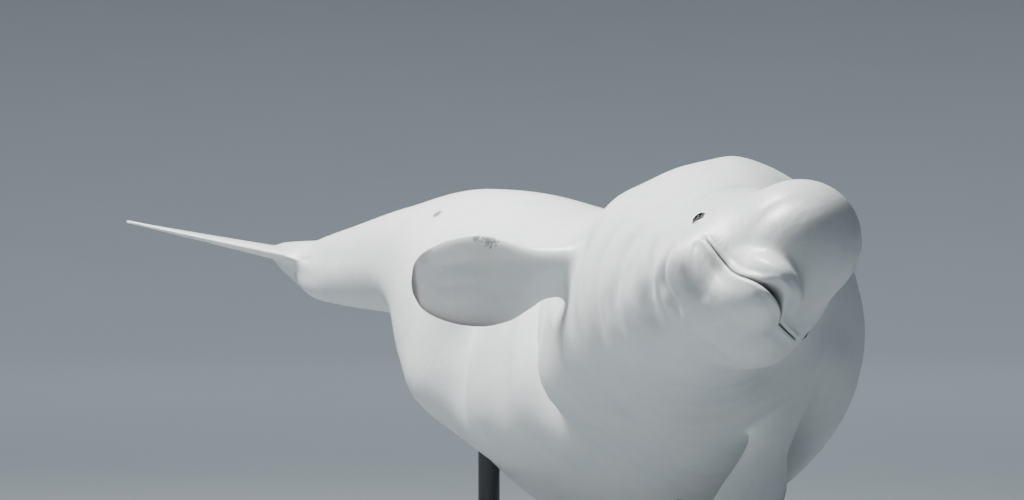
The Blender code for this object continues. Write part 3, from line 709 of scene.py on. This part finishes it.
def spine():
    """Stations along the spine, its points, and its forward, left and up directions there."""
    s = np.linspace(SPINE_FROM, SPINE_TO, SPINE_POINTS)
    bends = (turned(s, turns) for turns in (TURNS_LEFT, TURNS_UP, TURNS_ROUND))
    forward, left, up = directions(*bends)
    steps = (forward[1:] + forward[:-1]) / 2 * (s[1] - s[0])
    points = -np.concatenate([np.zeros((1, 3)), np.cumsum(steps, axis=0)])
    points -= on_line(CHEST_STATION, s, points)
    chest = np.stack(directions(*np.radians([CHEST_HEADING, CHEST_PITCH, CHEST_ROLL])))
    return s, points @ chest + np.array(CHEST_AT), forward @ chest, left @ chest, up @ chest


SPINE = spine()


def posed(points):
    """Bends points of the straight whale along the spine."""
    points = np.asarray(points, dtype=float)
    held = np.clip(-points[..., 0], SPINE_FROM, SPINE_TO)
    middle, forward, left, up = (on_line(held, SPINE[0], line) for line in SPINE[1:])
    ahead = points[..., :1] + held[..., None]
    return middle + forward * ahead + left * points[..., 1:2] + up * points[..., 2:3]


class Surface:
    """Collects grids of points into one surface, with their values at each point."""

    def __init__(self):
        self.points, self.faces, self.count = [], [], 0
        # crease and dark carry painted shade: grey in the folds, and near black in the mouth line and the
        # blowhole's slit.
        self.values = {"crease": [], "dark": [], "lid": [], "margin": []}

    def add(self, points, values, ends=None, middle=None):
        """A grid that faces away from the middle, by default that of each row. With two ends it
        closes round, and each end closes on its pole, with all values 0, or stays open if None."""
        rows, around = points.shape[:2]
        quads = grid_faces(rows, around, ends is not None)
        found = zip(() if ends is None else ends, (0, rows - 1), (-1, 1))
        poles = [row for row in found if row[0] is not None]
        fans = [
            pole_faces(row * around, around, rows * around + k)[:, ::way]
            for k, (_, row, way) in enumerate(poles)
        ]
        middle = points.mean(axis=1, keepdims=True) if middle is None else middle
        flat, away = points.reshape(-1, 3), (points - middle).reshape(-1, 3)
        a, b, d = (flat[quads[:, k]] for k in (0, 1, 3))
        turn = 1 if np.sum(np.cross(b - a, d - a) * away[quads[:, 0]]) > 0.0 else -1
        for faces in (quads, *fans):
            self.faces += (faces[:, ::turn] + self.count).tolist()
        self.points += [flat, *(np.reshape(p, (1, 3)) for p, _, _ in poles)]
        self.count += len(flat) + len(poles)
        for name, kept in self.values.items():
            given = values.get(name, np.zeros((rows, around)))
            kept.append(np.concatenate([given.reshape(-1), np.zeros(len(poles))]))


def body_skin(skin):
    """The trunk, head and web of the flukes, from the beak's tip to the end of the tail."""
    s, fan = skin_rings()
    points, values = body_points(*grid_of(s[:, None], fan[:, None], skin_lines()[None, :]))
    skin.add(points, values, points[[0, -1]].mean(axis=1))


def eyelid_skin(skin, hand):
    """Fine skin round an eye, on a grid of stations and angles, closest over the ball."""
    here = EYES[hand][0]
    up = here[2] - axis_height(EYE_STATION)
    step = spaced(-1.0, 1.0, LID_LINES, lambda v: 1.0 + 1.8 * fall(np.abs(v), 0.30, 0.25))
    s = EYE_STATION + LID_REACH * step
    angle = math.atan2(here[1], up) + LID_REACH / math.hypot(here[1], up) * step
    fans = np.arctan2(np.maximum(AXIS_STATION - s, 0.0), abs(here[1]))
    rows = grid_of(np.maximum(s, AXIS_STATION)[:, None], fans[:, None], angle[None, :])
    skin.add(*body_points(*rows, fine=True), middle=HEAD_MIDDLE)


def blowhole_skin(skin):
    """Fine skin round the blowhole, on a grid of stations and angles."""
    s = np.linspace(BLOWHOLE_STATION - 0.055, BLOWHOLE_STATION + 0.030, 56)
    angle = math.atan2(BLOWHOLE_SIDE, 0.30) + np.linspace(-0.21, 0.21, 72)
    skin.add(*body_points(*grid_of(s[:, None], 0.0, angle[None, :]), fine=True), middle=HEAD_MIDDLE)


def lip_skin(skin):
    """Fine skin along the mouth from the left corner round the tip to the right corner. Level rays
    turn round the middle of the head, in rows that follow the line of the mouth."""
    turn = np.radians(np.linspace(-LIP_TURN, LIP_TURN, LIP_LINES))[:, None]

    def level(turn, height):
        """Points of the bare body met by level rays at each height, and the rays' directions."""
        turn, height = grid_of(turn, height)
        way = np.stack([np.cos(turn), np.sin(turn), np.zeros_like(turn)])
        start = np.stack([np.full_like(turn, -AXIS_STATION), np.zeros_like(turn), height])
        far = ray_length(start, way, flesh, np.full_like(turn, LONGEST_RAY))
        return np.moveaxis(start + far * way, 0, -1), np.moveaxis(way, 0, -1)

    line = np.full_like(turn, -0.10)
    for _ in range(4):
        station = -level(turn, line)[0][..., 0]
        gap = through(MOUTH, 2, station)
        line = through(MOUTH, 1, station) - gap / 2
    half = gap / 2 + LINE_HALF
    inner = np.linspace(-1.0, 1.0, 9)[None, :]
    outer = LIP_REACH * np.linspace(0.0, 1.0, 19)[1:][None, :] ** 1.7
    rows = np.concatenate([-half - outer[:, ::-1], half * inner, half + outer], axis=1)
    skin.add(*clothed(*level(turn, line + rows), fine=True), middle=HEAD_MIDDLE)


def flipper_directions(hand):
    """Directions along a flipper's span, towards its leading edge, and out of its upper face."""
    side, (sweep, lift, twist) = SIDES[hand], np.radians(FLIPPER_SET[hand])
    out = np.cos(sweep) * np.cos(lift)
    span = np.array([-np.sin(sweep) * np.cos(lift), side * out, np.sin(lift)])
    lead = unit(np.array([1.0, 0.0, 0.0]) - span * span[0])
    upper = np.cross(lead, span) * side
    turn = np.array([[np.cos(twist), np.sin(twist)], [-np.sin(twist), np.cos(twist)]])
    return span, *(turn @ np.stack([lead, upper]))


def flipper_skin(skin, hand):
    """A paddle from its tip to a root that flares out on to the chest. Its section is an ellipse
    fuller in front, and each line of the flare is a parabola from the paddle to the chest."""
    span, lead, upper = flipper_directions(hand)
    root = flipper_root(hand)
    v = circle(FLIPPER_LINES)[0]

    def paddle(t):
        """Point of the paddle at share t of its length, for each line v."""
        ahead, behind = (FLIPPER_WIDTH * through(FLIPPER_PLAN, column, t) for column in (1, 2))
        thick = FLIPPER_THICKNESS / 2 * through(FLIPPER_PLAN, 3, t)
        curl = FLIPPER_CURL * ease((t - 0.45) / 0.6)
        chord = (ahead - behind) / 2 + (ahead + behind) / 2 * np.cos(v)
        rise = thick * np.sin(v) * (0.75 + 0.25 * np.cos(v)) + curl
        fingers = np.cos(13.0 * np.cos(v) + 0.6) * np.sign(np.sin(v)) * bump(t, 0.15, 0.97)
        rise = rise + FINGER_RISE * fingers * np.sin(v) ** 2
        along = (t * FLIPPER_LENGTH)[..., None] * span
        return root + along + chord[..., None] * lead + rise[..., None] * upper

    def share_at(clear):
        """Share of the length at which each line is the given distance clear of the body."""
        low, high = np.full_like(v, -0.25), np.full_like(v, 0.60)
        return halved(lambda t: at_points(flesh, paddle(t)) < clear, low, high, 24)

    free, touch = share_at(FLARE), share_at(0.0)
    shares = 1.0 - np.linspace(0.0, 1.0, FLIPPER_RINGS) ** 1.15
    rings = [paddle(free + (0.997 - free) * w) for w in shares]
    high, bend = paddle(free), paddle(touch)
    normal = body_normal(bend)
    out = np.cos(v)[:, None] * lead + 0.8 * np.sin(v)[:, None] * upper
    out = unit(out - np.sum(out * normal, axis=-1, keepdims=True) * normal)
    low = on_body(bend + FLARE * 1.1 * out)
    for w in np.linspace(0.0, 1.0, FLARE_RINGS + 1)[1:]:
        rings.append((1 - w) ** 2 * high + 2 * w * (1 - w) * bend + w**2 * low)
    beyond = on_body(low + 0.014 * out)
    rings.append(beyond - 0.0015 * normal)
    rings.append(beyond + 0.012 * out - 0.012 * normal)
    rear = np.clip(-np.cos(v), 0.0, 1.0)[None, :] ** 6
    front = np.clip(np.cos(v), 0.0, 1.0)[None, :] ** 4
    share = np.linspace(1.0, 0.0, len(rings))[:, None]
    margin = rear * ease((share - 0.40) / 0.25) + front * ease((share - 0.82) / 0.08)
    margin = np.clip(margin + ease((share - 0.940) / 0.035), 0.0, 1.0)
    tip = root + span * FLIPPER_LENGTH + upper * FLIPPER_CURL
    skin.add(np.array(rings), {"margin": margin}, (tip, None))


def body_normal(points, step=0.001):
    """Direction in which the body's field grows, from differences along x, y and z."""
    moves = np.eye(3) * step
    slope = [at_points(flesh, points + move) - at_points(flesh, points - move) for move in moves]
    return unit(np.stack(slope, axis=-1))


def on_body(points):
    """Moves points straight on to the body, along its field's slope."""
    for _ in range(4):
        points = points - at_points(flesh, points)[:, None] * body_normal(points)
    return points


def fluke_skin(skin):
    """Both lobes as one foil from the left tip to the right tip. Its section is an ellipse fuller
    in front, and it thins by a hair under the web that joins it to the tail."""
    t = np.sin(np.linspace(-1.0, 1.0, FLUKE_RINGS) * np.pi / 2 * 0.985)
    v = circle(FLUKE_LINES)[0]
    share = np.abs(t)[:, None]
    middle, chord, thick = fluke_plan(share)
    x = middle + chord * np.cos(v)
    y = np.broadcast_to(t[:, None] * FLUKE_SPAN / 2, x.shape)
    z = thick * np.sin(v) * (0.80 + 0.35 * np.cos(v)) + FLUKE_TIP_RISE * share**2
    c, s = math.cos(FLUKE_PITCH), math.sin(FLUKE_PITCH)
    points = np.stack([-FLUKE_STATION + x * c + z * s, y, FLUKE_HEIGHT + z * c - x * s], axis=-1)
    hidden = 0.0008 * fall(at_points(flesh, points), FLUKE_BLEND * 0.85, 0.018)
    points[..., 2] -= np.sign(np.sin(v)) * np.minimum(hidden, np.abs(z) * 0.5)
    rear = np.clip(-np.cos(v), 0.0, 1.0)[None, :] ** 10
    margin = np.broadcast_to(rear, x.shape) * 0.8
    skin.add(points, {"margin": margin}, points[[0, -1]].mean(axis=1))


def mesh_piece(name, points, faces, finish, values):
    """A smooth mesh object at the origin, with numbers or directions kept at each point."""
    mesh = bpy.data.meshes.new(name)
    mesh.from_pydata(points.tolist(), [], faces)
    mesh.validate()
    for key, value in values.items():
        kind, field = ("FLOAT_VECTOR", "vector") if value.ndim == 2 else ("FLOAT", "value")
        field_of = mesh.attributes.new(key, kind, "POINT")
        field_of.data.foreach_set(field, value.astype(np.float32).ravel())
    mesh.shade_smooth()
    mesh.materials.append(finish)
    return placed(name, mesh)


def placed(name, data):
    """A new object in the scene, at the origin and unturned."""
    holder = bpy.data.objects.new(name, data)
    bpy.context.scene.collection.objects.link(holder)
    return holder


def feed(tree, socket, value):
    """Links a node's output to a socket, or sets the socket to a number, colour or place."""
    value = getattr(value, "socket", value)
    if isinstance(value, bpy.types.NodeSocket):
        tree.links.new(value, socket)
    else:
        socket.default_value = value


def node(tree, kind, inputs, **settings):
    """A shader node with its settings and inputs, each a value or another node's output."""
    made = tree.nodes.new(kind)
    for key, value in settings.items():
        setattr(made, key, value)
    for key, value in inputs.items():
        feed(tree, made.inputs[key], value)
    return made


class Value:
    """A node's output. Sums, differences and products of such outputs become Math nodes."""

    def __init__(self, tree, socket):
        self.tree, self.socket = tree, socket

    def maths(self, operation, second=0.0, first=None, clamp=False):
        """This output and a second value through one operation, or the first value and it."""
        pair = {0: self if first is None else first, 1: second}
        made = node(self.tree, "ShaderNodeMath", pair, operation=operation, use_clamp=clamp)
        return Value(self.tree, made.outputs[0])

    def __add__(self, second):
        return self.maths("ADD", second)

    def __sub__(self, second):
        return self.maths("SUBTRACT", second)

    def __rsub__(self, first):
        return self.maths("SUBTRACT", self, first)

    def __mul__(self, second):
        return self.maths("MULTIPLY", second)


def noise(tree, place, scale, detail, roughness=0.5):
    """Cloudy noise from about 0 to 1 over a place."""
    inputs = {"Vector": place, "Scale": scale, "Detail": detail, "Roughness": roughness}
    return Value(tree, node(tree, "ShaderNodeTexNoise", inputs).outputs[0])


def attribute(tree, name, output="Fac"):
    """The number or direction that a mesh keeps at each point."""
    return Value(tree, node(tree, "ShaderNodeAttribute", {}, attribute_name=name).outputs[output])


def mixed(tree, factor, first, second):
    """The first colour where the factor is 0, and the second where it is 1."""
    made = node(tree, "ShaderNodeMix", {}, data_type="RGBA", clamp_factor=True)
    sockets = {s.identifier: s for s in made.inputs}
    for key, value in (("Factor_Float", factor), ("A_Color", first), ("B_Color", second)):
        feed(tree, sockets[key], (*value, 1.0) if isinstance(value, tuple) else value)
    return next(s for s in made.outputs if s.identifier == "Result_Color")


def layered(tree, colour, layers):
    """Colours laid over one another, each by its mask times its strength."""
    for mask, strength, over in layers:
        colour = mixed(tree, mask * strength, colour, over)
    return colour


def new_group(name, **inputs):
    """A node group that makes a mask, and its inputs: a place where None is given, or a number."""
    group = bpy.data.node_groups.new(name, "ShaderNodeTree")
    for key, value in inputs.items():
        kind = "NodeSocketVector" if value is None else "NodeSocketFloat"
        made = group.interface.new_socket(name=key, in_out="INPUT", socket_type=kind)
        if value is not None:
            made.default_value = value
    group.interface.new_socket(name="Mask", in_out="OUTPUT", socket_type="NodeSocketFloat")
    came = group.nodes.new("NodeGroupInput").outputs
    return group, {key: Value(group, came[key]) for key in inputs}


def closed_group(group, mask):
    """The group, with its mask led out."""
    feed(group, group.nodes.new("NodeGroupOutput").inputs["Mask"], mask)
    return group


def mottle_group():
    """Cloudy patches of two sizes: a mask from 0 to 1."""
    group, came = new_group("cloudy_patches", Place=None, Size=1.0, Contrast=1.0)
    large = noise(group, came["Place"], came["Size"], 4.0, 0.55)
    small = noise(group, came["Place"], came["Size"] * 4.3, 3.0, 0.6)
    cloud = (large * 0.65 + small * 0.35 - 0.5) * came["Contrast"]
    return closed_group(group, cloud.maths("ADD", 0.5, clamp=True))


def scratch_group():
    """Fine straight scars: the middles of long thin cells, kept only in patches."""
    group, came = new_group("fine_scars", Place=None, Size=1.0, Amount=0.5)
    masks = []
    for turn, stretch in ((0.35, 50.0), (-0.6, 62.0)):
        long = {"Rotation": (0.2, turn, turn * 1.7), "Scale": (1.0, stretch, stretch)}
        long = node(group, "ShaderNodeMapping", {"Vector": came["Place"], **long}).outputs[0]
        cells = {"Vector": long, "Scale": came["Size"]}
        cells = node(group, "ShaderNodeTexVoronoi", cells, feature="F1")
        line = Value(group, cells.outputs["Distance"]).maths("LESS_THAN", 0.085)
        patch = noise(group, came["Place"], 5.0 + 3.0 * turn, 2.0)
        masks.append(line * patch.maths("GREATER_THAN", 1.0 - came["Amount"]))
    return closed_group(group, masks[0].maths("MAXIMUM", masks[1]))


def mark_group():
    """A ragged spot round a place: 1 inside its radius and 0 outside, broken up by fine noise."""
    group, came = new_group("ragged_spot", Place=None, Centre=None, Radius=0.01, Grain=60.0, Broken=0.5)
    ends = {0: came["Place"], 1: came["Centre"]}
    apart = node(group, "ShaderNodeVectorMath", ends, operation="DISTANCE").outputs["Value"]
    ratio = Value(group, apart).maths("DIVIDE", came["Radius"])
    rough = (noise(group, came["Place"], came["Grain"], 3.0) - 0.5) * 5.0
    inside = (1.0 - ratio + rough * came["Broken"]).maths("MULTIPLY", 3.0, clamp=True)
    near = (1.3 - ratio).maths("MULTIPLY", 4.0, clamp=True)
    return closed_group(group, inside * near)


def use(tree, group, **inputs):
    """Places a node group in a material, with its values, and returns its mask."""
    return Value(tree, node(tree, "ShaderNodeGroup", inputs, node_tree=group).outputs[0])


def material(name, **constants):
    """A material and its tree and shader, with the values that are the same all over."""
    made = bpy.data.materials.new(name)
    made.use_nodes = True
    shader = made.node_tree.nodes["Principled BSDF"]
    for key, value in constants.items():
        shader.inputs[key.replace("_", " ")].default_value = value
    return made, made.node_tree, shader


def dress(tree, shader, colour, roughness=None, height=None, distance=0.0, strength=1.0):
    """Leads a colour, a roughness and a height that bumps the surface in to the shader."""
    feed(tree, shader.inputs["Base Color"], colour)
    if roughness is not None:
        feed(tree, shader.inputs["Roughness"], roughness)
    if height is not None:
        bump_of = {"Height": height, "Distance": distance, "Strength": strength}
        feed(tree, shader.inputs["Normal"], node(tree, "ShaderNodeBump", bump_of).outputs["Normal"])


def scuff_place(share):
    """Straight place of a scuff on the leading edge of the right flipper."""
    span, lead, upper = flipper_directions("right")
    ahead = FLIPPER_WIDTH * through(FLIPPER_PLAN, 1, share)
    return flipper_root("right") + share * FLIPPER_LENGTH * span + ahead * lead - 0.012 * upper


def skin_material(mottle, scars, marks):
    """White skin with painted cool grey shade in its folds, faint cream patches, fine scars, wrinkles and
    pores, two kinds of mark, dark lids and fin edges, and a painted shadow along the mouth line and in the
    blowhole's slit."""
    made, tree, shader = material("beluga_skin", Subsurface_Weight=0.10, Subsurface_Scale=0.02,
                                  Coat_Weight=0.12, Coat_Roughness=0.28)
    place = attribute(tree, "straight", "Vector")
    cloud = use(tree, mottle, Place=place, Size=3.2, Contrast=3.0)
    speckle = use(tree, mottle, Place=place, Size=22.0, Contrast=2.8)
    scar = use(tree, scars, Place=place, Size=2.2, Amount=0.46)
    station, turn, radius = FLANK_MARK
    middle = spot(station, math.radians(turn))
    flank = use(tree, marks, Place=place, Centre=middle, Radius=radius, Grain=90.0, Broken=0.25)
    near, far = (
        use(tree, marks, Place=place, Centre=scuff_place(share), Radius=radius, Grain=130.0, Broken=0.55)
        for share, radius in FLIPPER_SCUFFS
    )
    colour = mixed(tree, cloud, (0.730, 0.775, 0.795), (0.875, 0.885, 0.870))
    colour = layered(tree, colour, (
        (speckle, 0.22, (0.700, 0.735, 0.740)),
        # Painted shade: cool grey laid into the folds by their depth.
        (attribute(tree, "crease"), 0.50, (0.520, 0.575, 0.600)),
        (scar, 0.30, (0.560, 0.580, 0.585)),
        (flank, 0.92, (0.170, 0.210, 0.200)),
        (near.maths("MAXIMUM", far), 0.75, (0.200, 0.220, 0.230)),
        (attribute(tree, "margin"), 0.80, (0.115, 0.110, 0.110)),
        (attribute(tree, "lid"), 0.96, (0.022, 0.023, 0.026)),
        # Painted shadow: near black in the mouth line and the blowhole's slit.
        (attribute(tree, "dark"), 0.88, (0.045, 0.045, 0.048)),
    ))
    stretched = node(tree, "ShaderNodeMapping", {"Vector": place, "Scale": (3.2, 1.0, 1.0)})
    wrinkle = noise(tree, stretched.outputs[0], 26.0, 5.0, 0.6)
    pore = noise(tree, place, 420.0, 2.0)
    height = wrinkle * 0.75 + pore * 0.10 - scar * 0.12
    dress(tree, shader, colour, speckle * 0.16 + 0.34, height, 0.0035, 0.55)
    return made


def eye_material():
    """Wet dark eye: a black level pupil in a dark brown iris with fine rays, and a dark rim."""
    made, tree, shader = material("eye_wet", Roughness=0.05, Specular_IOR_Level=0.02)
    parts = node(tree, "ShaderNodeSeparateXYZ", {0: attribute(tree, "gaze", "Vector")})
    across, up = (Value(tree, parts.outputs[k]) for k in (1, 2))
    wide, tall = across.maths("POWER", 2.0), up.maths("POWER", 2.0)
    pupil = (wide + tall * 3.0).maths("SQRT").maths("LESS_THAN", PUPIL_SIZE)
    iris = (wide + tall).maths("SQRT").maths("LESS_THAN", IRIS_SIZE)
    turn = {"W": up.maths("ARCTAN2", across) * 9.0, "Scale": 1.0, "Detail": 3.0}
    rays = node(tree, "ShaderNodeTexNoise", turn, noise_dimensions="1D").outputs[0]
    brown = mixed(tree, rays, (0.004, 0.003, 0.002), (0.018, 0.011, 0.007))
    colour = mixed(tree, iris, (0.007, 0.006, 0.006), brown)
    dress(tree, shader, mixed(tree, pupil, colour, (0.002, 0.002, 0.003)))
    return made


def stand_material(mottle, scars):
    """Dark grey satin paint with fine grain, faint dust and hairline scuffs."""
    made, tree, shader = material("stand_paint", Metallic=0.15, Coat_Weight=0.12, Coat_Roughness=0.25)
    place = node(tree, "ShaderNodeTexCoord", {}).outputs["Object"]
    dust = use(tree, mottle, Place=place, Size=5.0, Contrast=2.2)
    grain = noise(tree, place, 650.0, 2.0)
    scuff = use(tree, scars, Place=place, Size=7.0, Amount=0.42)
    colour = mixed(tree, dust, (0.046, 0.050, 0.055), (0.078, 0.083, 0.088))
    colour = layered(tree, colour, ((scuff, 0.35, (0.170, 0.172, 0.175)),))
    dress(tree, shader, colour, dust * 0.22 + 0.30 + scuff * 0.2, grain, 0.0004, 0.35)
    return made


def floor_material(mottle):
    """Pale matt studio floor with a faint unevenness."""
    made, tree, shader = material("studio_floor")
    place = node(tree, "ShaderNodeTexCoord", {}).outputs["Object"]
    cloud = use(tree, mottle, Place=place, Size=0.35, Contrast=1.0)
    colour = mixed(tree, cloud, (0.330, 0.365, 0.390), (0.355, 0.390, 0.415))
    dress(tree, shader, colour, cloud * 0.1 + 0.62)
    return made


def skin_piece(name, skin, finish):
    """One object from the collected grids, bent along the spine."""
    straight = np.concatenate(skin.points)
    values = {key: np.concatenate(found) for key, found in skin.values.items()}
    piece = mesh_piece(name, posed(straight), skin.faces, finish, {"straight": straight, **values})
    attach(piece, "root")
    return piece


def build_skin(finish):
    """The whole skin as one piece, and the fine lids over the eyes."""
    skin = Surface()
    body_skin(skin)
    for hand in SIDES:
        flipper_skin(skin, hand)
    fluke_skin(skin)
    lip_skin(skin)
    blowhole_skin(skin)
    piece = skin_piece("whale_skin", skin, finish)
    flesh_nodes = ("head", "lower_jaw", "neck", "chest", "abdomen", "loin", "tail_stock", "flipper_left",
                   "flipper_right", "fluke_left", "fluke_right")
    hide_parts(*flesh_nodes)
    for hand in SIDES:
        lids = Surface()
        eyelid_skin(lids, hand)
        skin_piece("eyelids_" + hand, lids, finish)


def build_eye(hand, finish):
    """An eyeball: a sphere with its poles on the line of sight, and its directions as values."""
    here, out, along, above = EYES[hand]
    rows, around = EYE_GRID
    tilt, turn = np.linspace(0.0, np.pi, rows + 2)[1:-1, None], circle(around)
    shape = np.stack(grid_of(np.cos(tilt), np.sin(tilt) * np.cos(turn), np.sin(tilt) * np.sin(turn)), -1)
    poles = np.array([[1.0, 0.0, 0.0], [-1.0, 0.0, 0.0]])
    middle, axes = here - out * EYE_SINK, EYE_RADIUS * 0.995 * np.stack([out, along, above])
    ball = Surface()
    ball.add(middle + shape @ axes, {}, middle + poles @ axes)
    gaze = np.concatenate([shape.reshape(-1, 3), poles])
    points = posed(np.concatenate(ball.points))
    piece = mesh_piece("eyeball_" + hand, points, ball.faces, finish, {"gaze": gaze})
    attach(piece, "root")
    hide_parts("eye_" + hand)


def build_floor(finish):
    """Round floor that rises smoothly into a low wall far out, and faces up."""
    radius = np.concatenate([[0.5, 4.0, 12.0], np.linspace(20.0, 60.0, 40)])[:, None]
    turn, rise = circle(FLOOR_LINES), 14.0 * ease((radius - 24.0) / 60.0)
    points = np.stack(grid_of(radius * np.cos(turn), radius * np.sin(turn), rise), axis=-1)
    ground = Surface()
    ground.add(points, {}, ((0.0, 0.0, 0.0), None), middle=(0.0, 0.0, -100.0))
    piece = mesh_piece("studio_floor", np.concatenate(ground.points), ground.faces, finish, {})


def add_light(name, at, aim, size, power, colour):
    """A round lamp at a place that shines towards its aim."""
    lamp = bpy.data.lights.new(name, "AREA")
    lamp.shape = "DISK"
    lamp.size = size
    lamp.energy = power
    lamp.color = colour
    holder = placed(name, lamp)
    holder.location = at
    x, y, z = np.array(aim) - np.array(at)
    holder.rotation_euler = (math.acos(-z / math.hypot(x, y, z)), 0.0, math.atan2(-x, y))


def build_studio():
    """Soft key from above, a weak fill from the front, lamps high over the stand that face level
    outwards and light only the floor's far wall, and an even pale surround."""
    for name, at, size, power, colour in LAMPS:
        add_light(name, at, LAMP_AIM, size, power, colour)
    for i, power in enumerate(WALL_LAMPS):
        turn = CAMERA_HEADING + math.pi / 2 + i * math.radians(120)
        aim = (math.cos(turn), math.sin(turn), WALL_LAMP_HEIGHT)
        add_light("backdrop_%d" % i, (0.0, 0.0, WALL_LAMP_HEIGHT), aim, 8.0, power, (0.90, 0.95, 1.0))
    world = bpy.data.worlds.new("surround")
    bpy.context.scene.world = world
    world.use_nodes = True
    surround = world.node_tree.nodes["Background"]
    surround.inputs["Color"].default_value = (0.62, 0.74, 0.84, 1.0)
    surround.inputs["Strength"].default_value = 0.12


def build_camera():
    """The camera, level, at the photograph's place and angle."""
    lens = bpy.data.cameras.new("camera")
    lens.sensor_width = SENSOR
    lens.lens = FOCAL_PIXELS / PHOTO_WIDTH * SENSOR
    holder = placed("camera", lens)
    holder.location = CAMERA_AT
    holder.rotation_euler = (math.pi / 2, 0.0, CAMERA_HEADING)
    bpy.context.scene.camera = holder


def finish_stand(finish):
    """Gives the stand's own solids their paint."""
    for name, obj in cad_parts.items():
        if name.startswith("stand_"):
            obj.data.materials.clear()
            obj.data.materials.append(finish)


build_camera()
patches, hairlines = mottle_group(), scratch_group()
build_skin(skin_material(patches, hairlines, mark_group()))
wet = eye_material()
for hand in SIDES:
    build_eye(hand, wet)
finish_stand(stand_material(patches, hairlines))
build_floor(floor_material(patches))
build_studio()
